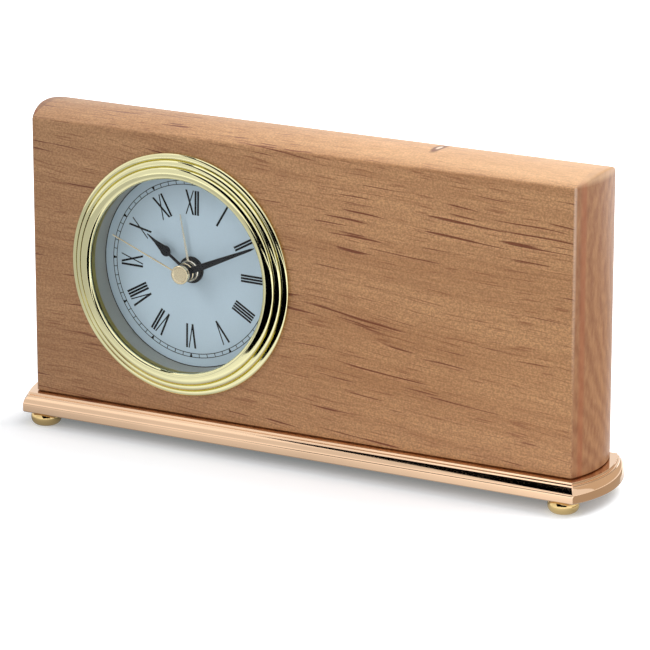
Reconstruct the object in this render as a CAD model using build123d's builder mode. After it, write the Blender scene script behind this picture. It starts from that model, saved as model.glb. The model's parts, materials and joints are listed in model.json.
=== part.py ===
from build123d import *
from math import atan2, cos, degrees, radians, sin, sqrt
import os

# Wooden desk clock: a solid wooden block with bowed ends and a crowned top stands on a moulded
# metal base with four bun feet. A round battery alarm clock is pushed into a bore through the block.
# Millimetres, +Z up, front towards -Y, origin under the middle of the clock at foot level.

# Wooden block
WOOD_W = 216.0  # front face, between its two side arrises
WOOD_H = 102.4  # front face, from the base to its top arris
WOOD_T = 31.75
EDGE_BOW = 3.6  # swell of the ends and of the top at mid thickness
ARRIS_R = 0.7

# Moulded base
BASE_H = 7.5
BASE_OUT = 5.2  # lower band, beyond the wood
PLINTH_IN = 1.5  # raised seat of the block, back from the wood, which leaves a shadow gap
PLINTH_H = 0.6
LEDGE_OUT = 2.8  # upper step, beyond the wood
LEDGE_DROP = 1.2  # foot of the upper step below the seat
STEP_OUT = 3.5  # second step, beyond the wood
STEP_DROP = 1.9  # foot of the second step below the seat
OVOLO_DROP = 5.0  # end of the rounded moulding below the seat
UNDER_CHAMFER = 0.4

# Feet and the screws that hold the block
FOOT_H = 5.0
FOOT_R = 5.6
FOOT_REST_R = 3.9
FOOT_NECK_R = 4.5
FOOT_BELLY_H = 2.4
FOOT_INSET = 6.2  # foot axis from the corner of the base, both ways
STUD_R = 2.0
STUD_L = 5.0
SCREW_X = 78.0  # block screws, either side of the middle
SCREW_R = 1.5
SCREW_HEAD_R = 3.4
SCREW_HEAD_H = 2.2
SCREW_BITE = 14.0  # length of the screw inside the wood
SCREW_RECESS = (3.6, 0.8, 1.2)  # cross recess in its head: length, width, depth

# Round insert, radii from its axis
DIAL_X = -46.6  # axis from the middle of the block
DIAL_RISE = 51.9  # axis above the underside of the block
BORE_R = 40.5
BEZEL_R = 44.5
BEZEL_OPENING_R = 35.6
SKIRT_R = 37.25  # inside of the bezel's skirt
SKIRT_OUT_R = 38.0
SKIRT_END = 6.0
LENS_R = 37.15
REHAUT_R = 36.2
CAN_R = 39.5
CAN_BORE_R = 38.1
COVER_R = 38.0
BUSH_R = 4.0
BUSH_TOP = 7.7
NUT_R = 4.9
GRIP_SPAN = (7.0, 21.0)
GRIP_FINS = 4
GRIP_WALL = 0.4
FIN_LEAN = 0.75  # place of a fin's tip between its front and back foot

# Layers of the insert, as depths behind the front face of the wood, front then back
LENS = (-2.9, -1.1)
REHAUT = (-1.1, 8.5)
DIAL = (8.5, 9.0)
NUT = (7.75, 8.5)
WEB = (9.0, 10.5)
ALARM_LAYER = (10.9, 12.1)
HOUR_LAYER = (12.5, 13.7)
MOTION_LAYER = (14.1, 15.5)
MIDDLE_PLATE = (15.8, 17.0)
CENTRE_LAYER = (17.3, 18.3)
THIRD_LAYER = (18.7, 19.7)
SECONDS_LAYER = (20.1, 21.1)
TRANSFER_LAYER = (21.5, 22.5)
BRIDGE = (23.0, 24.5)
COVER = (27.5, 29.0)
KNOB = (29.4, 33.2)

# Clearances
RUN = 0.05  # radius of a hole beyond the shaft that turns in it
SEAT = 0.02  # radius of a hole beyond the piece that is fixed in it

# Hands: clockwise angle from twelve, length, and front and back depth of blade and collet
ALARM_ANGLE = 349.5
ALARM_LENGTH = 20.6
ALARM_BLADE = (6.95, 7.3)
ALARM_COLLET = (6.0, 7.3)
HOUR_ANGLE = 304.5
HOUR_LENGTH = 20.4
HOUR_BLADE = (5.2, 5.6)
HOUR_COLLET = (3.6, 5.6)
MINUTE_ANGLE = 66.0
MINUTE_LENGTH = 32.0
MINUTE_BLADE = (2.2, 2.6)
MINUTE_COLLET = (1.1, 3.3)
SECOND_ANGLE = 292.0
SECOND_LENGTH = 30.2
SECOND_BLADE = (0.2, 0.5)
SECOND_CAP = (-0.3, 0.8)

# Nested pipes that carry the hands, with the depth of their front ends
SECOND_ARBOR_R = 0.5
SECOND_ARBOR_TOP = 0.1
CENTRE_PIPE_R = 1.0
CANNON_PIPE_R = 1.5
CANNON_PIPE_TOP = 1.5
HOUR_PIPE_R = 2.5
HOUR_PIPE_TOP = 3.9
ALARM_PIPE_R = 3.25
ALARM_PIPE_TOP = 6.2
ALARM_COLLET_R = 3.9
HOUR_COLLET_R = 3.4
MINUTE_COLLET_R = 3.2
SECOND_CAP_R = 3.45
CAP_RIM = 0.9  # width of the rim round the dished middle of the cap
CAP_CHAMFER = 0.3
CAP_DISH = 0.15

# Wheels and pinions: teeth, and the distance between the two axes of each pair
ROTOR_TEETH, TRANSFER_TEETH, ROTOR_REACH = 10, 60, 8.75
TRANSFER_PINION, SECONDS_TEETH, TRANSFER_REACH = 10, 50, 9.0
SECONDS_PINION, THIRD_TEETH, THIRD_REACH = 8, 64, 8.84
THIRD_PINION, CENTRE_TEETH = 8, 60
CANNON_TEETH, MOTION_TEETH, MOTION_REACH = 12, 36, 9.6
MOTION_PINION, HOUR_TEETH = 10, 40
SETTING_PINION, ALARM_TEETH, SETTING_REACH = 16, 48, 13.44
ADDENDUM = 0.8  # height of a tooth above the pitch circle, in modules
DEDENDUM = 1.25  # depth of a gap below the pitch circle, in modules
ROOT_SHARE = 0.27  # half width of a tooth at its root, as a share of the pitch
TIP_SHARE = 0.11  # half width of a tooth at its tip, as a share of the pitch
ARBOR_R = 0.6
PIVOT_R = 0.4
SETTING_ARBOR_R = 0.8
SETTING_ARBOR_END = 32.5
KNOB_R = 5.2
KNOB_FLUTES = 18

# Movement fittings, placed from the dial axis: right, up
PILLARS = ((-16.5, 20.0), (-16.5, -7.5), (22.0, -7.5), (2.0, 21.5))
PILLAR_R = 2.2
PLATE_SCREW_R = 0.9
PLATE_SCREW_HEAD_R = 1.9
PLATE_SCREW_TIP = 12.0
ROUND_HEAD_T = 1.2
ROUND_HEAD_RECESS = (2.2, 0.5, 0.7)  # cross recess: length, width, depth
BOSS_RING_R = 35.2
BOSS_R = 3.2
BOSS_ANGLES = (30.0, 150.0, 270.0)
COVER_SCREW_R = 1.0
COVER_SCREW_TIP = 19.0
CELL_R = 7.25
CELL_L = 50.5
CELL_NUB_R = 2.7
CELL_NUB_L = 1.0
CELL_AT = (0.0, -19.0)
CELL_DEPTH = 19.0  # depth of the cell's axis
DOOR_W = 53.6
DOOR_H = 16.6
DOOR_GAP = 0.2
DOOR_LEDGE = 1.0
DOOR_T = 0.8
SWITCH_AT = (0.0, 28.0)
SWITCH_TRAVEL = 4.0
SWITCH_W = 4.8
SWITCH_H = 2.4
BUZZER_AT = (-15.0, 16.0)
BUZZER_R = 9.5
BUZZER_T = 1.4
MAGNET_R = 3.0
STATOR_GAP = 0.5
STATOR_T = 1.0
COIL_X = 22.0
COIL_R = 3.0
COIL_L = 14.0
CORE_W = 3.5
CORE_T = 1.2

# Places that follow from the sizes above
BASE_TOP = FOOT_H + BASE_H
WOOD_FRONT = -WOOD_T / 2
WOOD_BACK = WOOD_FRONT + WOOD_T
WOOD_MID = WOOD_FRONT + WOOD_T / 2
BOW_R = ((WOOD_T / 2) ** 2 + EDGE_BOW**2) / (2 * EDGE_BOW)
END_CENTRE = WOOD_W / 2 + EDGE_BOW - BOW_R  # centre of the arc of the right end
DIAL_Z = BASE_TOP + DIAL_RISE
DIAL_CENTRE = Vector(DIAL_X, WOOD_FRONT, DIAL_Z)
DIAL_AXIS = Axis(DIAL_CENTRE, (0, 1, 0))
AXIS_SPOT = (0.0, 0.0)


def face(depth, clockwise=0.0):
    """Plane parallel to the dial, seen from the front, `depth` behind the front of the wood."""
    turn = radians(clockwise)
    return Plane(DIAL_CENTRE + Vector(0, depth, 0), x_dir=(cos(turn), 0, -sin(turn)), z_dir=(0, -1, 0))


def radial_section():
    """Plane through the dial axis: first coordinate is the radius, second the depth."""
    return Plane(DIAL_CENTRE, x_dir=(1, 0, 0), z_dir=(0, 0, 1))


def from_spot(spot, reach, angle):
    """Spot at a distance and an anticlockwise angle from another spot on the dial plane."""
    return (spot[0] + reach * cos(radians(angle)), spot[1] + reach * sin(radians(angle)))


def bearing(spot, other):
    """Anticlockwise angle of the line from one spot to another."""
    return degrees(atan2(other[1] - spot[1], other[0] - spot[0]))


def rod(spot, radius, front, back, mode=Mode.ADD):
    """Round bar or hole along the depth, added to the part in hand."""
    with BuildSketch(face(back)) as disc:
        with Locations(spot):
            Circle(radius)
    extrude(disc.sketch, amount=back - front, mode=mode)


def block(spot, width, height, front, back, corner=0.0, mode=Mode.ADD):
    """Rectangular bar or pocket along the depth, with rounded corners where asked."""
    with BuildSketch(face(back)) as outline:
        with Locations(spot):
            Rectangle(width, height)
        if corner:
            fillet(outline.vertices(), corner)
    extrude(outline.sketch, amount=back - front, mode=mode)


def round_head_screw(spot, shank_radius, head_radius, tip, seat):
    """Screw driven from the back, with a cross recess, added to the part in hand."""
    head_top = seat + ROUND_HEAD_T
    long_side, short_side, recess_depth = ROUND_HEAD_RECESS
    rod(spot, shank_radius, tip, seat)
    rod(spot, head_radius, seat, head_top)
    for width, height in ((long_side, short_side), (short_side, long_side)):
        block(spot, width, height, head_top - recess_depth, head_top, mode=Mode.SUBTRACT)


def cog(spot, teeth, reach_teeth, reach, towards, layer, tooth_first):
    """Toothed disc whose tooth, or gap, points at the wheel it meshes with."""
    module = 2 * reach / (teeth + reach_teeth)
    root = module * (teeth / 2 - DEDENDUM)
    tip = module * (teeth / 2 + ADDENDUM)
    start = 0.0 if tooth_first else 0.5
    flank = ((root, -ROOT_SHARE), (tip, -TIP_SHARE), (tip, TIP_SHARE), (root, ROOT_SHARE))
    corners = []
    for tooth in range(teeth):
        for radius, share in flank:
            turn = radians(towards + (tooth + start + share) * 360 / teeth)
            corners.append((spot[0] + radius * cos(turn), spot[1] + radius * sin(turn)))
    with BuildSketch(face(layer[1])) as outline:
        Polygon(*corners, align=None)
    extrude(outline.sketch, amount=layer[1] - layer[0])


def finish(part, name):
    """Label a piece and write it out."""
    part.label = name
    export_step(part, f"parts/{name}.step")


os.makedirs("parts", exist_ok=True)

# Wooden block: plan with bowed ends, cut to the crowned side view
with BuildPart() as wood_block:
    with BuildSketch(Plane.XY.offset(BASE_TOP)):
        with BuildLine():
            Line((-WOOD_W / 2, WOOD_FRONT), (WOOD_W / 2, WOOD_FRONT))
            ThreePointArc(
                (WOOD_W / 2, WOOD_FRONT), (WOOD_W / 2 + EDGE_BOW, WOOD_MID), (WOOD_W / 2, WOOD_BACK)
            )
            Line((WOOD_W / 2, WOOD_BACK), (-WOOD_W / 2, WOOD_BACK))
            ThreePointArc(
                (-WOOD_W / 2, WOOD_BACK), (-WOOD_W / 2 - EDGE_BOW, WOOD_MID), (-WOOD_W / 2, WOOD_FRONT)
            )
        make_face()
    extrude(amount=WOOD_H + EDGE_BOW)
    top_arris = BASE_TOP + WOOD_H
    with BuildSketch(Plane.YZ):
        with BuildLine():
            Polyline(
                (WOOD_BACK, top_arris), (WOOD_BACK, BASE_TOP), (WOOD_FRONT, BASE_TOP), (WOOD_FRONT, top_arris)
            )
            ThreePointArc(
                (WOOD_FRONT, top_arris), (WOOD_MID, top_arris + EDGE_BOW), (WOOD_BACK, top_arris)
            )
        make_face()
    extrude(amount=WOOD_W, both=True, mode=Mode.INTERSECT)
    flat_faces = wood_block.faces().filter_by(Plane.XZ)
    fillet(flat_faces.edges(), ARRIS_R)
    rod(AXIS_SPOT, BORE_R, 0, WOOD_T, mode=Mode.SUBTRACT)
    with Locations((-SCREW_X, WOOD_MID, BASE_TOP), (SCREW_X, WOOD_MID, BASE_TOP)):
        Cylinder(
            SCREW_R + SEAT,
            SCREW_BITE,
            align=(Align.CENTER, Align.CENTER, Align.MIN),
            mode=Mode.SUBTRACT,
        )
finish(wood_block.part, "wood_block")


def base_edge(inner, way):
    """Moulded edge of the base, drawn outwards from the line of the wood; gives its two ends."""
    top_end = (inner - way * PLINTH_IN, BASE_TOP)
    ovolo_start = (inner + way * STEP_OUT, BASE_TOP - STEP_DROP)
    ovolo_end = (inner + way * BASE_OUT, BASE_TOP - OVOLO_DROP)
    under_end = (inner + way * (BASE_OUT - UNDER_CHAMFER), FOOT_H)
    Polyline(
        top_end,
        (inner - way * PLINTH_IN, BASE_TOP - PLINTH_H),
        (inner + way * LEDGE_OUT, BASE_TOP - PLINTH_H),
        (inner + way * LEDGE_OUT, BASE_TOP - LEDGE_DROP),
        (inner + way * STEP_OUT, BASE_TOP - LEDGE_DROP),
        ovolo_start,
    )
    TangentArc(ovolo_end, ovolo_start, tangent=(0, 1))
    Polyline(ovolo_end, (inner + way * BASE_OUT, FOOT_H + UNDER_CHAMFER), under_end)
    return top_end, under_end


# Base: a straight moulding along front and back, mitred to ends that follow the bowed wood
with BuildSketch(Plane.YZ) as base_across:
    with BuildLine():
        front_top, front_under = base_edge(WOOD_FRONT, -1)
        back_top, back_under = base_edge(WOOD_BACK, 1)
        Line(front_top, back_top)
        Line(front_under, back_under)
    make_face()
with BuildPart() as base_end:
    with BuildSketch(Plane.XZ.offset(-WOOD_MID)):
        with BuildLine():
            end_top, end_under = base_edge(WOOD_W / 2 + EDGE_BOW, 1)
            Polyline(end_top, (END_CENTRE, BASE_TOP), (END_CENTRE, FOOT_H), end_under)
        make_face()
    revolve(axis=Axis((END_CENTRE, WOOD_MID, 0), (0, 0, 1)))
    extrude(base_across.sketch.moved(Location((END_CENTRE, 0, 0))), amount=WOOD_W, mode=Mode.INTERSECT)

FOOT_X = END_CENTRE + sqrt((BOW_R + BASE_OUT) ** 2 - (WOOD_T / 2 + BASE_OUT) ** 2) - FOOT_INSET
FOOT_FRONT_Y = WOOD_FRONT - BASE_OUT + FOOT_INSET
FOOT_BACK_Y = WOOD_BACK + BASE_OUT - FOOT_INSET
FEET = {
    "foot_front_left": (-FOOT_X, FOOT_FRONT_Y),
    "foot_front_right": (FOOT_X, FOOT_FRONT_Y),
    "foot_back_left": (-FOOT_X, FOOT_BACK_Y),
    "foot_back_right": (FOOT_X, FOOT_BACK_Y),
}

with BuildPart() as base_plate:
    extrude(base_across.sketch, amount=END_CENTRE, both=True)
    add(base_end.part)
    mirror(base_end.part, about=Plane.YZ)
    with Locations(*[(x, y, FOOT_H) for x, y in FEET.values()]):
        Cylinder(
            STUD_R + SEAT, STUD_L, align=(Align.CENTER, Align.CENTER, Align.MIN), mode=Mode.SUBTRACT
        )
    for x in (-SCREW_X, SCREW_X):
        with BuildSketch(Plane((x, WOOD_MID, 0), x_dir=(1, 0, 0), z_dir=(0, -1, 0))) as screw_hole:
            Polygon(
                (0, FOOT_H),
                (SCREW_HEAD_R + SEAT, FOOT_H),
                (SCREW_R + SEAT, FOOT_H + SCREW_HEAD_H),
                (SCREW_R + SEAT, BASE_TOP),
                (0, BASE_TOP),
                align=None,
            )
        revolve(screw_hole.sketch, axis=Axis((x, WOOD_MID, 0), (0, 0, 1)), mode=Mode.SUBTRACT)
finish(base_plate.part, "base_plate")

# Screws from below, flush with the underside of the base and biting into the block
with BuildPart() as base_screws:
    for x in (-SCREW_X, SCREW_X):
        with BuildSketch(Plane((x, WOOD_MID, 0), x_dir=(1, 0, 0), z_dir=(0, -1, 0))) as screw_half:
            Polygon(
                (0, FOOT_H),
                (SCREW_HEAD_R, FOOT_H),
                (SCREW_R, FOOT_H + SCREW_HEAD_H),
                (SCREW_R, BASE_TOP + SCREW_BITE - 2 * SCREW_R),
                (0, BASE_TOP + SCREW_BITE - SEAT),
                align=None,
            )
        revolve(screw_half.sketch, axis=Axis((x, WOOD_MID, 0), (0, 0, 1)))
        long_side, short_side, recess_depth = SCREW_RECESS
        with Locations((x, WOOD_MID, FOOT_H)):
            for width, across in ((long_side, short_side), (short_side, long_side)):
                Box(
                    width,
                    across,
                    recess_depth,
                    align=(Align.CENTER, Align.CENTER, Align.MIN),
                    mode=Mode.SUBTRACT,
                )
finish(base_screws.part, "base_screws")

# Bun feet, each turned in one piece with the stud that enters the base
for foot_name, (x, y) in FEET.items():
    with BuildPart() as foot:
        with BuildSketch(Plane((x, y, 0), x_dir=(1, 0, 0), z_dir=(0, -1, 0))):
            with BuildLine():
                Line((0, 0), (FOOT_REST_R, 0))
                ThreePointArc((FOOT_REST_R, 0), (FOOT_R, FOOT_BELLY_H), (FOOT_NECK_R, FOOT_H))
                Polyline(
                    (FOOT_NECK_R, FOOT_H),
                    (STUD_R, FOOT_H),
                    (STUD_R, FOOT_H + STUD_L - SEAT),
                    (0, FOOT_H + STUD_L - SEAT),
                    (0, 0),
                )
            make_face()
        revolve(axis=Axis((x, y, 0), (0, 0, 1)))
    finish(foot.part, foot_name)

# Bezel: three quarter-round rings that step forwards to a rounded lip, and a skirt that enters the can
RING_EDGES = ((BEZEL_R, -0.6), (42.2, -1.75), (39.8, -2.95), (37.0, -4.15))
LIP_CREST = (36.15, -3.9)
LIP_END = (BEZEL_OPENING_R, -3.2)
with BuildPart() as bezel:
    with BuildSketch(radial_section()):
        with BuildLine():
            for (outer, low), (inner, high) in zip(RING_EDGES, RING_EDGES[1:]):
                EllipticalCenterArc((inner, low), outer - inner, low - high, start_angle=270, arc_size=90)
            ThreePointArc(RING_EDGES[-1], LIP_CREST, LIP_END)
            Polyline(
                LIP_END,
                (BEZEL_OPENING_R, LENS[0]),
                (SKIRT_R, LENS[0]),
                (SKIRT_R, SKIRT_END),
                (SKIRT_OUT_R, SKIRT_END),
                (SKIRT_OUT_R, 0),
                (BEZEL_R, 0),
                RING_EDGES[0],
            )
        make_face()
    revolve(axis=DIAL_AXIS)
finish(bezel.part, "bezel")

with BuildPart() as lens:
    rod(AXIS_SPOT, LENS_R, *LENS)
finish(lens.part, "lens")

# Inner wall ring between the dial and the lens
with BuildPart() as rehaut:
    rod(AXIS_SPOT, LENS_R, *REHAUT)
    rod(AXIS_SPOT, REHAUT_R, *REHAUT, mode=Mode.SUBTRACT)
finish(rehaut.part, "rehaut")

with BuildPart() as dial:
    rod(AXIS_SPOT, LENS_R, *DIAL)
    rod(AXIS_SPOT, BUSH_R + SEAT, *DIAL, mode=Mode.SUBTRACT)
finish(dial.part, "dial")

with BuildPart() as dial_nut:
    rod(AXIS_SPOT, NUT_R, *NUT)
    rod(AXIS_SPOT, BUSH_R + SEAT, *NUT, mode=Mode.SUBTRACT)
    chamfer(dial_nut.edges().sort_by(Axis.Y)[0], ARRIS_R / 2)
finish(dial_nut.part, "dial_nut")

# Spots of the arbors that stand beside the dial axis
THIRD_SPOT = from_spot(AXIS_SPOT, THIRD_REACH, 120)
TRANSFER_SPOT = from_spot(AXIS_SPOT, TRANSFER_REACH, 60)
ROTOR_SPOT = from_spot(TRANSFER_SPOT, ROTOR_REACH, 40)
MOTION_SPOT = from_spot(AXIS_SPOT, MOTION_REACH, -15)
SETTING_SPOT = from_spot(AXIS_SPOT, SETTING_REACH, 180)
BOSSES = tuple(from_spot(AXIS_SPOT, BOSS_RING_R, angle) for angle in BOSS_ANGLES)
SADDLES = ((-14.0, CELL_AT[1]), (14.0, CELL_AT[1]))
SADDLE_W = 3.0
SADDLE_TOP = 15.5

# Plastic can of the insert: wall, web behind the dial, bush, screw bosses, pillars and cell saddles
with BuildPart() as insert_body:
    with BuildSketch(radial_section()):
        Polygon(
            (ALARM_PIPE_R + RUN, BUSH_TOP),
            (BUSH_R, BUSH_TOP),
            (BUSH_R, WEB[0]),
            (CAN_BORE_R, WEB[0]),
            (CAN_BORE_R, 0),
            (CAN_R, 0),
            (CAN_R, COVER[1]),
            (CAN_BORE_R, COVER[1]),
            (CAN_BORE_R, WEB[1]),
            (ALARM_PIPE_R + RUN, WEB[1]),
            align=None,
        )
    revolve(axis=DIAL_AXIS)
    for spot in BOSSES:
        rod(spot, BOSS_R, WEB[1], COVER[0])
        rod(spot, COVER_SCREW_R + SEAT, COVER_SCREW_TIP, COVER[0], mode=Mode.SUBTRACT)
    for spot in PILLARS:
        rod(spot, PILLAR_R, WEB[1], MIDDLE_PLATE[0])
        rod(spot, PLATE_SCREW_R + SEAT, PLATE_SCREW_TIP, MIDDLE_PLATE[0], mode=Mode.SUBTRACT)
    for spot in SADDLES:
        block(spot, SADDLE_W, 2 * CELL_R + SADDLE_W, WEB[1], SADDLE_TOP)
    with Locations(DIAL_CENTRE + Vector(CELL_AT[0], CELL_DEPTH, CELL_AT[1])):
        Cylinder(CELL_R + RUN, CELL_L, rotation=(0, 90, 0), mode=Mode.SUBTRACT)
    rod(SETTING_SPOT, ARBOR_R + RUN, *WEB, mode=Mode.SUBTRACT)
finish(insert_body.part, "insert_body")

# Rubber grip ring with pointed fins between the can and the bore of the block
with BuildPart() as grip_ring:
    fin_pitch = (GRIP_SPAN[1] - GRIP_SPAN[0]) / GRIP_FINS
    with BuildSketch(radial_section()):
        with BuildLine():
            for fin in range(GRIP_FINS):
                fin_start = GRIP_SPAN[0] + fin * fin_pitch
                Polyline(
                    (CAN_R + GRIP_WALL, fin_start),
                    (BORE_R - SEAT, fin_start + fin_pitch * FIN_LEAN),
                    (CAN_R + GRIP_WALL, fin_start + fin_pitch),
                )
            Polyline(
                (CAN_R + GRIP_WALL, GRIP_SPAN[1]),
                (CAN_R + SEAT, GRIP_SPAN[1]),
                (CAN_R + SEAT, GRIP_SPAN[0]),
                (CAN_R + GRIP_WALL, GRIP_SPAN[0]),
            )
        make_face()
    revolve(axis=DIAL_AXIS)
finish(grip_ring.part, "grip_ring")

# Plates of the movement, with holes for every pivot
PLATE_AT = (2.5, 7.0)
PLATE_W = 46.0
PLATE_TALL = 36.0
PLATE_CORNER = 3.0
BRIDGE_AT = (-1.75, 7.0)
BRIDGE_W = 37.5
BRIDGE_ARM_AT = (17.0, -7.25)
BRIDGE_ARM_W = 17.0
BRIDGE_ARM_H = 7.5
STATOR_POSTS = ((9.5, 4.0), (9.5, 22.8))
STATOR_POST_R = 1.2
PIVOT_SPOTS = (THIRD_SPOT, TRANSFER_SPOT, ROTOR_SPOT)
SETTING_SPOTS = (MOTION_SPOT, SETTING_SPOT)

with BuildPart() as middle_plate:
    block(PLATE_AT, PLATE_W, PLATE_TALL, *MIDDLE_PLATE, corner=PLATE_CORNER)
    for spot in PILLARS:
        rod(spot, PILLAR_R, MIDDLE_PLATE[1], BRIDGE[0])
        rod(spot, PLATE_SCREW_R + SEAT, MIDDLE_PLATE[0], BRIDGE[0], mode=Mode.SUBTRACT)
    for spot in STATOR_POSTS:
        rod(spot, STATOR_POST_R, MIDDLE_PLATE[1], THIRD_LAYER[0])
    rod(AXIS_SPOT, CENTRE_PIPE_R + RUN, *MIDDLE_PLATE, mode=Mode.SUBTRACT)
    for spot in PIVOT_SPOTS:
        rod(spot, PIVOT_R + RUN, *MIDDLE_PLATE, mode=Mode.SUBTRACT)
    for spot in SETTING_SPOTS:
        rod(spot, SETTING_ARBOR_R + RUN, *MIDDLE_PLATE, mode=Mode.SUBTRACT)
finish(middle_plate.part, "middle_plate")

with BuildPart() as train_bridge:
    block(BRIDGE_AT, BRIDGE_W, PLATE_TALL, *BRIDGE, corner=PLATE_CORNER)
    block(BRIDGE_ARM_AT, BRIDGE_ARM_W, BRIDGE_ARM_H, *BRIDGE, corner=PLATE_CORNER)
    for spot in PILLARS:
        rod(spot, PLATE_SCREW_R + SEAT, *BRIDGE, mode=Mode.SUBTRACT)
    for spot in (AXIS_SPOT, *PIVOT_SPOTS):
        rod(spot, PIVOT_R + RUN, *BRIDGE, mode=Mode.SUBTRACT)
    for spot in SETTING_SPOTS:
        rod(spot, SETTING_ARBOR_R + RUN, *BRIDGE, mode=Mode.SUBTRACT)
finish(train_bridge.part, "train_bridge")

with BuildPart() as bridge_screws:
    for spot in PILLARS:
        round_head_screw(spot, PLATE_SCREW_R, PLATE_SCREW_HEAD_R, PLATE_SCREW_TIP, BRIDGE[1])
finish(bridge_screws.part, "bridge_screws")

# Going train, from the stepping rotor to the centre wheel
PIVOT_FRONT = MIDDLE_PLATE[0] + 0.2
PIVOT_BACK = BRIDGE[1] - 0.2
SHOULDER_FRONT = MIDDLE_PLATE[1] + 0.1
SHOULDER_BACK = BRIDGE[0] - 0.1
MAGNET = (18.2, 20.2)

with BuildPart() as rotor:
    rod(ROTOR_SPOT, PIVOT_R, PIVOT_FRONT, PIVOT_BACK)
    rod(ROTOR_SPOT, ARBOR_R, SHOULDER_FRONT, SHOULDER_BACK)
    rod(ROTOR_SPOT, MAGNET_R, *MAGNET)
    rotor_way = bearing(ROTOR_SPOT, TRANSFER_SPOT)
    cog(ROTOR_SPOT, ROTOR_TEETH, TRANSFER_TEETH, ROTOR_REACH, rotor_way, TRANSFER_LAYER, True)
finish(rotor.part, "rotor")

with BuildPart() as transfer_wheel:
    rod(TRANSFER_SPOT, PIVOT_R, PIVOT_FRONT, PIVOT_BACK)
    rod(TRANSFER_SPOT, ARBOR_R, SHOULDER_FRONT, SHOULDER_BACK)
    transfer_way = bearing(TRANSFER_SPOT, ROTOR_SPOT)
    cog(TRANSFER_SPOT, TRANSFER_TEETH, ROTOR_TEETH, ROTOR_REACH, transfer_way, TRANSFER_LAYER, False)
    pinion_way = bearing(TRANSFER_SPOT, AXIS_SPOT)
    cog(TRANSFER_SPOT, TRANSFER_PINION, SECONDS_TEETH, TRANSFER_REACH, pinion_way, SECONDS_LAYER, True)
finish(transfer_wheel.part, "transfer_wheel")

with BuildPart() as seconds_wheel:
    rod(AXIS_SPOT, PIVOT_R, SHOULDER_BACK, PIVOT_BACK)
    rod(AXIS_SPOT, SECOND_ARBOR_R, SECOND_ARBOR_TOP, SHOULDER_BACK)
    seconds_way = bearing(AXIS_SPOT, TRANSFER_SPOT)
    cog(AXIS_SPOT, SECONDS_TEETH, TRANSFER_PINION, TRANSFER_REACH, seconds_way, SECONDS_LAYER, False)
    third_way = bearing(AXIS_SPOT, THIRD_SPOT)
    cog(AXIS_SPOT, SECONDS_PINION, THIRD_TEETH, THIRD_REACH, third_way, THIRD_LAYER, True)
finish(seconds_wheel.part, "seconds_wheel")

with BuildPart() as third_wheel:
    rod(THIRD_SPOT, PIVOT_R, PIVOT_FRONT, PIVOT_BACK)
    rod(THIRD_SPOT, ARBOR_R, SHOULDER_FRONT, SHOULDER_BACK)
    centre_way = bearing(THIRD_SPOT, AXIS_SPOT)
    cog(THIRD_SPOT, THIRD_TEETH, SECONDS_PINION, THIRD_REACH, centre_way, THIRD_LAYER, False)
    cog(THIRD_SPOT, THIRD_PINION, CENTRE_TEETH, THIRD_REACH, centre_way, CENTRE_LAYER, True)
finish(third_wheel.part, "third_wheel")

with BuildPart() as centre_wheel:
    cog(AXIS_SPOT, CENTRE_TEETH, THIRD_PINION, THIRD_REACH, third_way, CENTRE_LAYER, False)
    rod(AXIS_SPOT, CENTRE_PIPE_R, MOTION_LAYER[0], CENTRE_LAYER[1])
    rod(AXIS_SPOT, SECOND_ARBOR_R + RUN, MOTION_LAYER[0], CENTRE_LAYER[1], mode=Mode.SUBTRACT)
finish(centre_wheel.part, "centre_wheel")

# Motion work: the cannon pinion slips on the centre wheel's pipe when the hands are set
with BuildPart() as cannon_pinion:
    motion_way = bearing(AXIS_SPOT, MOTION_SPOT)
    cog(AXIS_SPOT, CANNON_TEETH, MOTION_TEETH, MOTION_REACH, motion_way, MOTION_LAYER, True)
    rod(AXIS_SPOT, CANNON_PIPE_R, CANNON_PIPE_TOP, MOTION_LAYER[1])
    rod(AXIS_SPOT, SECOND_ARBOR_R + RUN, CANNON_PIPE_TOP, MOTION_LAYER[1], mode=Mode.SUBTRACT)
    rod(AXIS_SPOT, CENTRE_PIPE_R + RUN, MOTION_LAYER[0] - RUN, MOTION_LAYER[1], mode=Mode.SUBTRACT)
finish(cannon_pinion.part, "cannon_pinion")

with BuildPart() as motion_wheel:
    back_way = bearing(MOTION_SPOT, AXIS_SPOT)
    cog(MOTION_SPOT, MOTION_TEETH, CANNON_TEETH, MOTION_REACH, back_way, MOTION_LAYER, False)
    cog(MOTION_SPOT, MOTION_PINION, HOUR_TEETH, MOTION_REACH, back_way, HOUR_LAYER, True)
    rod(MOTION_SPOT, SETTING_ARBOR_R, HOUR_LAYER[0], SETTING_ARBOR_END)
finish(motion_wheel.part, "motion_wheel")

with BuildPart() as hour_wheel:
    cog(AXIS_SPOT, HOUR_TEETH, MOTION_PINION, MOTION_REACH, motion_way, HOUR_LAYER, False)
    rod(AXIS_SPOT, HOUR_PIPE_R, HOUR_PIPE_TOP, HOUR_LAYER[1])
    rod(AXIS_SPOT, CANNON_PIPE_R + RUN, HOUR_PIPE_TOP, HOUR_LAYER[1], mode=Mode.SUBTRACT)
finish(hour_wheel.part, "hour_wheel")

# Alarm setting: a pinion on the rear knob's arbor turns the wheel that carries the alarm hand
with BuildPart() as alarm_wheel:
    setting_way = bearing(AXIS_SPOT, SETTING_SPOT)
    cog(AXIS_SPOT, ALARM_TEETH, SETTING_PINION, SETTING_REACH, setting_way, ALARM_LAYER, False)
    rod(AXIS_SPOT, ALARM_PIPE_R, ALARM_PIPE_TOP, ALARM_LAYER[1])
    rod(AXIS_SPOT, HOUR_PIPE_R + RUN, ALARM_PIPE_TOP, ALARM_LAYER[1], mode=Mode.SUBTRACT)
finish(alarm_wheel.part, "alarm_wheel")

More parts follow.
